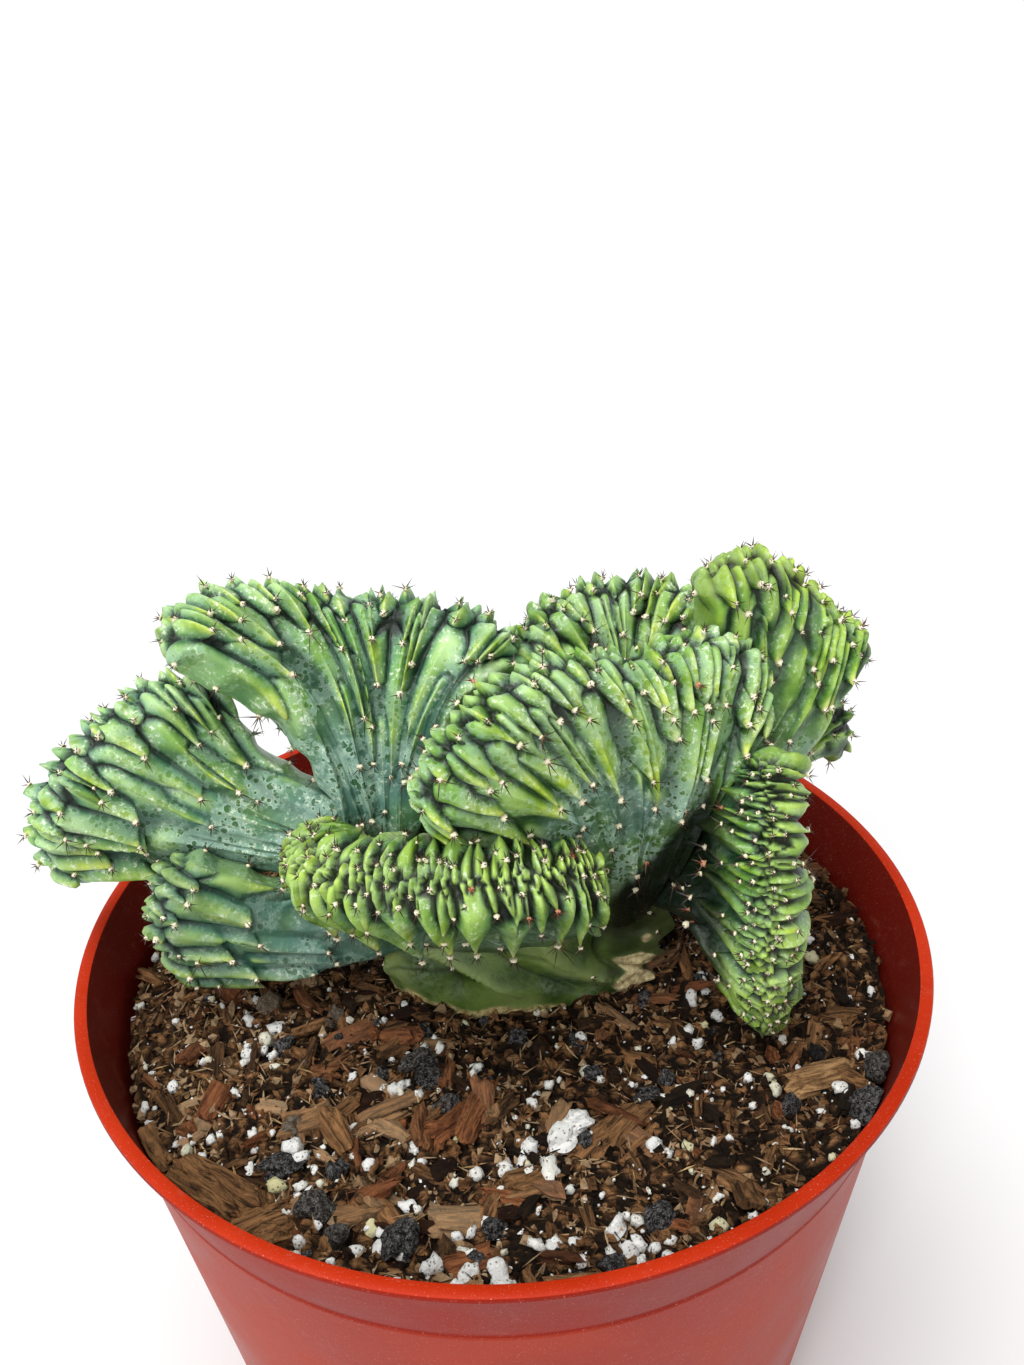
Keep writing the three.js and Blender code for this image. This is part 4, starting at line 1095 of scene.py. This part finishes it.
def soil_material():
    """Peat, bark, lava and perlite. The tones hold the hue, from black lava over brown to ochre, the
    lightness, a flag for white perlite, and each piece's own place for its grain, along its first axis."""
    s = Shader("soil")
    hue, light, white = s.tone()
    own = s.node("Attribute", {}, out="Vector", attribute_name="mark")
    grain = s.noise(1100.0, 5.0, 0.7)
    stretch = s.node("Mapping", {"Vector": own, "Scale": (0.16, 1.0, 1.0)})
    fibre = s.noise(0.7, 6.0, 0.75, where=stretch, warp=1.0)
    specks = s.step(s.noise(2600.0, 3.0, 0.7), 0.55, 0.66)
    black = s.mottle(grain, 0.42, 0.66, (8, 8, 9), (96, 93, 92))
    black = s.blend(s.times(specks, 0.6), black, srgb(160, 158, 156))
    brown = s.mottle(fibre, 0.34, 0.66, (30, 17, 10), (164, 118, 76))
    rust = s.mottle(fibre, 0.34, 0.7, (66, 34, 19), (160, 100, 62))
    straw = s.mottle(fibre, 0.34, 0.66, (104, 74, 42), (224, 188, 132))
    colour = s.blend(s.step(hue, 0.08, 0.14), black, brown)
    colour = s.blend(s.step(hue, 0.55, 0.7), colour, rust)
    colour = s.blend(s.step(hue, 0.8, 0.92), colour, straw)
    colour = s.blend(s.step(light, 0.5, 0.0, 0.0, 0.95), colour, srgb(8, 5, 3))
    colour = s.blend(s.step(light, 0.55, 1.0, 0.0, 0.6), colour, srgb(214, 184, 144))
    pits = s.node("TexVoronoi", {"Vector": s.place(), "Scale": 1000.0}, out="Distance")
    pale = s.blend(hue, srgb(252, 251, 247), srgb(226, 218, 160))
    pale = s.blend(s.step(pits, 0.32, 0.12, 0.0, 0.85), pale, srgb(96, 82, 64))
    colour = s.blend(white, colour, pale)
    relief = s.math("ADD", grain, fibre)
    return s.finish(colour, 0.75, s.bump(relief, 0.0008, 1.0), Specular_IOR_Level=0.15)


GOLDEN_ANGLE = 2.399      # in radians: no two terms of a bumpy field run the same way


def waves(x, y, terms):
    """A smooth bumpy field made of crossing waves: (scale in mm, height) for each term."""
    total = np.zeros_like(x)
    for n, (scale, height) in enumerate(terms):
        a = GOLDEN_ANGLE * n + 0.7
        u, v = x * math.cos(a) + y * math.sin(a), y * math.cos(a) - x * math.sin(a)
        total += (height * np.sin(2 * math.pi * u / scale + n)
                  * np.cos(2 * math.pi * v / (1.27 * scale) + 2 * n))
    return total


SOIL_WAVES = [(110, 1.4), (52, 1.1), (24, 0.8), (13, 0.6)]
CRUMB_WAVES = [(7.1, 0.7), (4.7, 0.6), (3.3, 0.5)]
WALL_GAP_DEPTH = 6.0
WALL_GAP_WIDTH = 5.0
BED_RINGS = 95
BED_SEGMENTS = 320
BED_GAP = 0.25            # between the bed and the pot's wall
BED_EDGE_DROP = 9.0       # from the soil's level down to where the bed's side begins
BED_HUE = 0.3


def soil_top(x, y):
    """The bed's height: lumpy, and sunk beside the wall at the left and the back."""
    radius = np.hypot(x, y)
    from_wall = wall_inside(SOIL_LEVEL) - radius
    towards_gap = smooth((-(0.8 * x - 0.6 * y) / np.maximum(radius, 1) + 0.3) / 1.0)
    gap = WALL_GAP_DEPTH * towards_gap * smooth((WALL_GAP_WIDTH - from_wall) / WALL_GAP_WIDTH)
    return SOIL_LEVEL - 0.6 + waves(x, y, SOIL_WAVES) + waves(x, y, CRUMB_WAVES) - gap


def build_bed(mesh):
    """The soil's body, from its lumpy top down to the pot's floor."""
    turn = full_turn(BED_SEGMENTS)
    edge, bottom = SOIL_LEVEL - BED_EDGE_DROP, POT_FLOOR + 0.3
    radius = np.linspace(0.5, wall_inside(edge) - BED_GAP, BED_RINGS)[:, None]
    x, y = radius * np.cos(turn), radius * np.sin(turn)
    sides = [circle(wall_inside(z) - BED_GAP, turn, z) for z in np.linspace(edge, bottom, 8)]
    points = np.concatenate([np.stack([x, y, soil_top(x, y)], -1), sides, [circle(1, turn, bottom)]])
    # Lightness follows the crumb waves: painted shade in the bed's troughs, deepest where the waves are
    # lowest.
    light = np.clip(0.05 + 0.6 * waves(points[..., 0], points[..., 1], CRUMB_WAVES), 0, 0.6)
    tones = np.stack([np.full_like(light, BED_HUE), light, np.zeros_like(light)], -1)
    grid = mesh.add_tube(points, True, np.concatenate([tones, points], -1))
    hubs = [(0, 0, soil_top(np.zeros(1), np.zeros(1))[0]), (0, 0, bottom)]
    mesh.cap_ends(grid, hubs, (BED_HUE, 0.2, 0, 0, 0, 0))


def ball_template(rounds):
    """An icosphere's points and triangles, radius 1."""
    shape = bmesh.new()
    bmesh.ops.create_icosphere(shape, subdivisions=rounds, radius=1)
    points = np.array([v.co[:] for v in shape.verts])
    faces = np.array([[v.index for v in f.verts] for f in shape.faces])
    shape.free()
    return points, faces


def bark_template(sides=8):
    """A block of bark along X: five sections of a rounded box and two blunt ends, about one unit each way."""
    turn = 2 * math.pi * (np.arange(sides) + 0.5) / sides
    corner = np.maximum(np.abs(np.cos(turn)), np.abs(np.sin(turn))) ** 0.6
    outline = np.stack([np.cos(turn) / corner, np.sin(turn) / corner], -1)
    points = []
    for x, size in ((-1.0, 0.6), (-0.82, 0.92), (0.0, 1.0), (0.8, 0.95), (1.0, 0.55)):
        points += [(x, size * y, size * z) for y, z in outline]
    points += [(-1.04, 0, 0), (1.04, 0, 0)]
    grid = np.arange(5 * sides).reshape(5, sides)
    ends = np.stack([spokes(grid[0], grid.size, False), spokes(grid[-1], grid.size + 1, True)], 1)
    return np.array(points), np.concatenate([grid_triangles(closed(grid), True), ends.reshape(-1, 3)])


def about(axis, angle):
    """Turns about one axis, as matrices."""
    first, second = (axis + 1) % 3, (axis + 2) % 3
    turns = np.zeros((len(angle), 3, 3))
    turns[:, axis, axis] = 1
    turns[:, first, first] = turns[:, second, second] = np.cos(angle)
    turns[:, second, first] = np.sin(angle)
    turns[:, first, second] = -turns[:, second, first]
    return turns


def turned(random, count, flat=0.0):
    """Random turns; flat from 0, any way up, to 1, lying down with only a spin about Z."""
    spin = random.uniform(0, 2 * math.pi, count)
    tilt, roll = (random.uniform(-1, 1, count) * (1 - flat) * math.pi / 2 for _ in range(2))
    return about(2, spin) @ about(0, tilt) @ about(1, roll)


def lumpy(random, shape, count, rough):
    """Swellings and hollows for the copies of a template, each one with its own."""
    total = np.ones((count, len(shape)))
    for turns in (2.6, 5.0, 8.0):
        across = turns * unit(random.normal(size=(count, 3)))
        total += rough * np.sin(across @ shape.T + random.uniform(0, 2 * math.pi, (count, 1)))
    return total[..., None] * random.uniform(1 - 0.3 * rough, 1 + 0.3 * rough, (count, len(shape), 1))


def inside_wall(points):
    """The points, with those beyond the pot's wall pressed back against it."""
    radius = np.hypot(points[..., 0], points[..., 1])
    share = np.minimum(1, (wall_inside(points[..., 2]) - 0.3) / np.maximum(radius, 1))
    return points * np.stack([share, share, np.ones_like(share)], -1)


LEFT_PALENESS = 0.25      # how much paler the soil is at the left than in the middle


def scatter(mesh, template, random, places, sizes, tones, flat=0.0, rough=0.2):
    """Copies of a template at many places, each one sized, turned and made lumpy in its own way."""
    shape, faces = template
    count = len(places)
    local = shape[None] * lumpy(random, shape, count, rough) * sizes[:, None, :]
    points = np.einsum("nij,nvj->nvi", turned(random, count, flat), local) + places[:, None, :]
    all_faces = (faces[None] + (np.arange(count) * len(shape))[:, None, None]).reshape(-1, 3)
    own = local + 40 * np.arange(count)[:, None, None]
    tones[:, 1] -= LEFT_PALENESS * places[:, 0] / POT_RIM_RADIUS
    tones = np.repeat(tones, len(shape), axis=0)
    mesh.add(inside_wall(points), all_faces, np.concatenate([tones, own.reshape(-1, 3)], 1))


def soil_places(random, count, reach=1.0, sink=0.0):
    """Places on the bed, kept inside the wall and out of the trunk."""
    limit = wall_inside(SOIL_LEVEL) - reach
    spots = np.zeros((0, 2))
    while len(spots) < count:
        radius = limit * np.sqrt(random.uniform(0, 1, count))
        turn = random.uniform(0, 2 * math.pi, count)
        fresh = np.stack([radius * np.cos(turn), radius * np.sin(turn)], -1)
        across = (fresh[:, 0] - TRUNK_CENTRE[0]) / (0.5 * TRUNK_WIDTH + 0.3 * reach)
        deep = (fresh[:, 1] - TRUNK_CENTRE[1]) / (0.5 * TRUNK_DEPTH + 0.3 * reach)
        spots = np.concatenate([spots, fresh[across ** 2 + deep ** 2 > 1]])
    spots = spots[:count]
    height = soil_top(spots[:, 0], spots[:, 1]) - sink
    return np.column_stack([spots, height])


def earth_tones(random, count, hue, light):
    lightness = np.clip(random.uniform(*light, count), 0, 1)
    return np.stack([random.uniform(*hue, count), lightness, np.zeros(count)], -1)


SPLINTER = (np.array([(1, 0, 0), (-1, 0, 0), (0, 1, 0), (0, -1, 0), (0, 0, 1), (0, 0, -1)], float),
            np.array([(0, 2, 4), (2, 1, 4), (1, 3, 4), (3, 0, 4),
                      (2, 0, 5), (1, 2, 5), (3, 1, 5), (0, 3, 5)]))

CRUMBS = 6500
FIBRES = 5200
CLODS = 240
BARK_CHIPS = 330
LAVA_GRAINS = 95
PERLITE_GRAINS = 1000
PERLITE_SPECKS = 800
PERLITE_TOWARDS = (-0.35, -1.0)    # the side with more of it


def block_sizes(random, count, across, stretch, power=1):
    """Half sizes of blocks about as long as wide."""
    return random.uniform(*across, (count, 1)) ** power * random.uniform(*stretch, (count, 3))


def scatter_earth(mesh, template, random, size, places, hue, light, **manner):
    """One kind of peat or bark all over the bed. places holds its reach and how far it sinks in."""
    spots = soil_places(random, len(size), *places)
    scatter(mesh, template, random, spots, size, earth_tones(random, len(size), hue, light), **manner)


def build_grit(mesh, random):
    """Peat crumbs, fibres, clods and bark chips."""
    scatter_earth(mesh, SPLINTER, random, block_sizes(random, CRUMBS, (0.5, 1.4), (0.5, 1.4)),
                  (1.5, -0.2), (0.16, 0.66), (-0.5, 1.1), rough=0.3)
    size = np.stack([random.uniform(0.9, 3.0, FIBRES), random.uniform(0.13, 0.3, FIBRES),
                     random.uniform(0.12, 0.26, FIBRES)], -1)
    scatter_earth(mesh, SPLINTER, random, size, (4, -0.7), (0.2, 1.0), (-0.5, 1.15), flat=0.6, rough=0.1)
    scatter_earth(mesh, ball_template(1), random, block_sizes(random, CLODS, (1.0, 2.3), (0.6, 1.3)),
                  (2.5, 0.0), (0.1, 0.75), (0.1, 0.7), rough=0.25)
    length = random.uniform(2.0, 6.0, BARK_CHIPS)
    size = np.stack([length, length * random.uniform(0.25, 0.5, BARK_CHIPS),
                     length * random.uniform(0.14, 0.3, BARK_CHIPS)], -1)
    scatter_earth(mesh, bark_template(), random, size, (6, -0.6), (0.25, 0.8), (-0.1, 0.8), flat=0.7,
                  rough=0.2)


def build_lumps(mesh, random):
    """Lumps of black lava."""
    count = LAVA_GRAINS
    size = block_sizes(random, count, (1.3, 3.2), (0.7, 1.25))
    tones = np.stack([random.uniform(0, 0.07, count), random.uniform(0.3, 0.6, count), np.zeros(count)], -1)
    scatter(mesh, ball_template(2), random, soil_places(random, count, 4, -0.3), size, tones, rough=0.16)


def perlite_tones(random, count):
    """White, and now and then cream."""
    return np.stack([random.uniform(0, 1, count) ** 6, np.full(count, 0.5), np.ones(count)], -1)


def build_perlite(mesh, random):
    """Perlite grains: small ones all over, more of them towards the front, and clusters."""
    places = soil_places(random, PERLITE_GRAINS, 2, -0.6)
    forward = places[:, :2] @ np.array(PERLITE_TOWARDS) / 95
    places = places[random.uniform(-0.5, 1.1, len(places)) < forward]
    count = len(places)
    size = block_sizes(random, count, (0.4, 1.35), (0.65, 1.35), power=1.2)
    scatter(mesh, ball_template(2), random, places, size, perlite_tones(random, count), rough=0.18)
    count = PERLITE_SPECKS
    size = random.uniform(0.2, 0.5, (count, 3))
    scatter(mesh, SPLINTER, random, soil_places(random, count, 2, -0.8), size, perlite_tones(random, count))
    for x, y, spread, count in PERLITE_CLUSTERS:
        spots = np.array([x, y]) + spread * random.normal(size=(count, 2))
        places = np.column_stack([spots, soil_top(spots[:, 0], spots[:, 1]) + 0.7])
        size = block_sizes(random, count, (0.8, 2.5), (0.7, 1.2))
        scatter(mesh, ball_template(2), random, places, size, perlite_tones(random, count), rough=0.2)


# Clusters of perlite: x, y, spread and how many grains.
PERLITE_CLUSTERS = [
    (4, -62, 2.6, 9), (-12, -84, 3.5, 8), (-28, -36, 3, 5), (-2, -92, 2.5, 4),
    (-60, -28, 4, 6), (22, -85, 3, 7), (38, -84, 2.6, 6), (-46, -62, 5, 6),
    (30, -42, 4, 5), (-24, -76, 4, 5), (46, -20, 3, 5), (76, -8, 5, 4),
]

# Single pieces that stand out on the bed: kind, x, y, half sizes, spin in degrees and tone.
BIG_PIECES = [
    ("bark", -62, -66, (11, 4.6, 3.2), -35, (0.4, 0.5, 0)),
    ("bark", -50, -76, (6.5, 4.5, 3.2), 20, (0.45, 0.45, 0)),
    ("bark", -77, -54, (7, 3.0, 2.4), -50, (0.3, 0.6, 0)),
    ("bark", -24, -43, (11.5, 2.6, 1.8), 32, (0.6, 0.7, 0)),
    ("bark", -31, -51, (9, 1.3, 1.0), 22, (0.5, 0.7, 0)),
    ("bark", -7, -49, (7.5, 2.3, 1.8), 68, (0.66, 0.5, 0)),
    ("bark", 22, -56, (10.5, 3.4, 1.6), 44, (0.3, 0.4, 0)),
    ("bark", -9, -74, (6.5, 2.8, 2.0), 5, (0.45, 0.75, 0)),
    ("bark", -8, -84, (5, 3.0, 2.2), 10, (0.72, 0.5, 0)),
    ("bark", 71, -42, (8, 3.0, 2.6), 20, (0.86, 0.45, 0)),
    ("bark", 12, -92, (6.5, 2.4, 1.8), 0, (0.45, 0.6, 0)),
    ("bark", -44, -49, (6, 3.4, 2.4), 20, (0.4, 0.65, 0)),
    ("bark", -66, -44, (5, 3.0, 2.2), 70, (0.74, 0.4, 0)),
    ("bark", 46, -68, (7, 2.4, 1.8), -38, (0.35, 0.6, 0)),
    ("ball", 12, -57, (4.4, 3.3, 3.0), 50, (0, 0.5, 1)),
    ("ball", 15, -54, (3.2, 3.0, 2.8), 50, (0, 0.5, 1)),
    ("ball", 79, -50, (5, 4, 3.4), 0, (0.03, 0.5, 0)),
    ("ball", 84, -40, (3.6, 3, 3), 40, (0.05, 0.6, 0)),
    ("ball", -49, -60, (4.8, 3.0, 2.4), 10, (0.0, 0.4, 0)),
    ("ball", -22, -80, (4.2, 3.6, 3), 70, (0.06, 0.55, 0)),
    ("ball", -40, -72, (3.8, 3.2, 3), 0, (0.06, 0.6, 0)),
    ("ball", 30, -78, (3.4, 3.0, 3), 0, (0.02, 0.5, 0)),
    ("ball", -21, -33, (4, 2.4, 2.2), 40, (0.06, 0.6, 0)),
]


def build_big_pieces(mesh, random):
    templates = {"bark": bark_template(14), "ball": ball_template(3)}
    for n, (kind, x, y, size, spin, tone) in enumerate(BIG_PIECES):
        shape, faces = templates[kind]
        local = (shape * lumpy(random, shape, 1, 0.12 if kind == "bark" else 0.14)[0]) * size
        c, s = math.cos(math.radians(spin)), math.sin(math.radians(spin))
        tilt = local[:, 0] * random.uniform(-0.12, 0.12)
        points = np.column_stack([c * local[:, 0] - s * local[:, 1], s * local[:, 0] + c * local[:, 1],
                                  local[:, 2] + tilt])
        ground = soil_top(np.array([float(x)]), np.array([float(y)]))[0]
        tones = np.column_stack([np.tile(tone, (len(shape), 1)), local + 40 * n])
        mesh.add(inside_wall(points + [x, y, ground + 0.45 * size[2]]), faces, tones)


def build_soil():
    random = np.random.default_rng(20)
    bed, grit, white = MeshData(), MeshData(), MeshData()
    build_bed(bed)
    build_grit(grit, random)
    build_lumps(grit, random)
    build_big_pieces(grit, random)
    build_perlite(white, random)
    material = soil_material()
    pieces = [bed.build("soil_bed", material), grit.build("soil_grit", material, shade_smooth=False),
              white.build("perlite", material)]
    for piece in pieces:
        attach(piece, "root")
    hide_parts("soil")


# ------------------------------------------------------------------ stage, lights and camera

FLOOR_HALF_WIDTH = 60.0   # in metres
ROOM_WALLS = 1.2          # the white room's brightness low down, and overhead
ROOM_CEILING = 0.25
OVERHEAD_STRENGTH = 3.0
FRONT_STRENGTH = 1.0
CAMERA_PLACE = (5.2, -233.2, 373.1)
CAMERA_PITCH = 29.53
CAMERA_ROLL = -2.6
CAMERA_LENS = 31.65


def build_stage():
    shape = bmesh.new()
    bmesh.ops.create_grid(shape, x_segments=1, y_segments=1, size=FLOOR_HALF_WIDTH)
    mesh = bpy.data.meshes.new("floor")
    shape.to_mesh(mesh)
    shape.free()
    s = Shader("floor_paper")
    paper = s.blend(s.noise(4.0, 2.0), srgb(220, 220, 220), srgb(224, 224, 224))
    mesh.materials.append(s.finish(paper, 0.9))
    floor = new_object("floor", mesh)
    floor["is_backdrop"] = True


def add_soft_sun(name, towards, strength, spread):
    """A far, broad light, as soft as a large softbox: spread is the angle that it fills, in degrees."""
    light = bpy.data.lights.new(name, "SUN")
    light.energy = strength
    light.angle = math.radians(spread)
    new_object(name, light).rotation_euler = Vector(towards).to_track_quat("-Z", "Y").to_euler()


def build_lights():
    """A white room that is brighter towards its walls than overhead, and two soft lights."""
    world = bpy.data.worlds.new("white_room")
    world.use_nodes = True
    tree = world.node_tree
    direction = tree.nodes.new("ShaderNodeTexCoord").outputs["Generated"]
    split = tree.nodes.new("ShaderNodeSeparateXYZ")
    tree.links.new(direction, split.inputs[0])
    fade = tree.nodes.new("ShaderNodeMapRange")
    levels = {"From Min": 0.1, "From Max": 0.6, "To Min": ROOM_WALLS, "To Max": ROOM_CEILING}
    for key, value in levels.items():
        fade.inputs[key].default_value = value
    tree.links.new(split.outputs["Z"], fade.inputs["Value"])
    background = tree.nodes["Background"]
    background.inputs["Color"].default_value = (1, 1, 1, 1)
    tree.links.new(fade.outputs[0], background.inputs["Strength"])
    bpy.context.scene.world = world
    bpy.context.scene.view_settings.view_transform = "Standard"
    add_soft_sun("overhead_light", (0.2, 0.2, -1), OVERHEAD_STRENGTH, 45)
    add_soft_sun("front_light", (0.5, 1, -0.9), FRONT_STRENGTH, 14)


def build_camera():
    camera = new_object("camera", bpy.data.cameras.new("camera"))
    camera.data.lens = CAMERA_LENS
    camera.data.sensor_width = 36
    camera.data.clip_start = 0.01
    camera.data.clip_end = 200
    tilt = Matrix.Rotation(math.radians(90 - CAMERA_PITCH), 4, "X")
    roll = Matrix.Rotation(math.radians(CAMERA_ROLL), 4, "Z")
    camera.matrix_world = Matrix.Translation(Vector(CAMERA_PLACE) * MM) @ tilt @ roll
    bpy.context.scene.camera = camera


def write_sizes():
    boxes = {"cad": CAD_BOX, "visual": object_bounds()}
    {name: [list(corner) for corner in box] for name, box in boxes.items()}


build_camera()
build_lights()
build_stage()
build_pot()
build_soil()
build_cactus()
write_sizes()
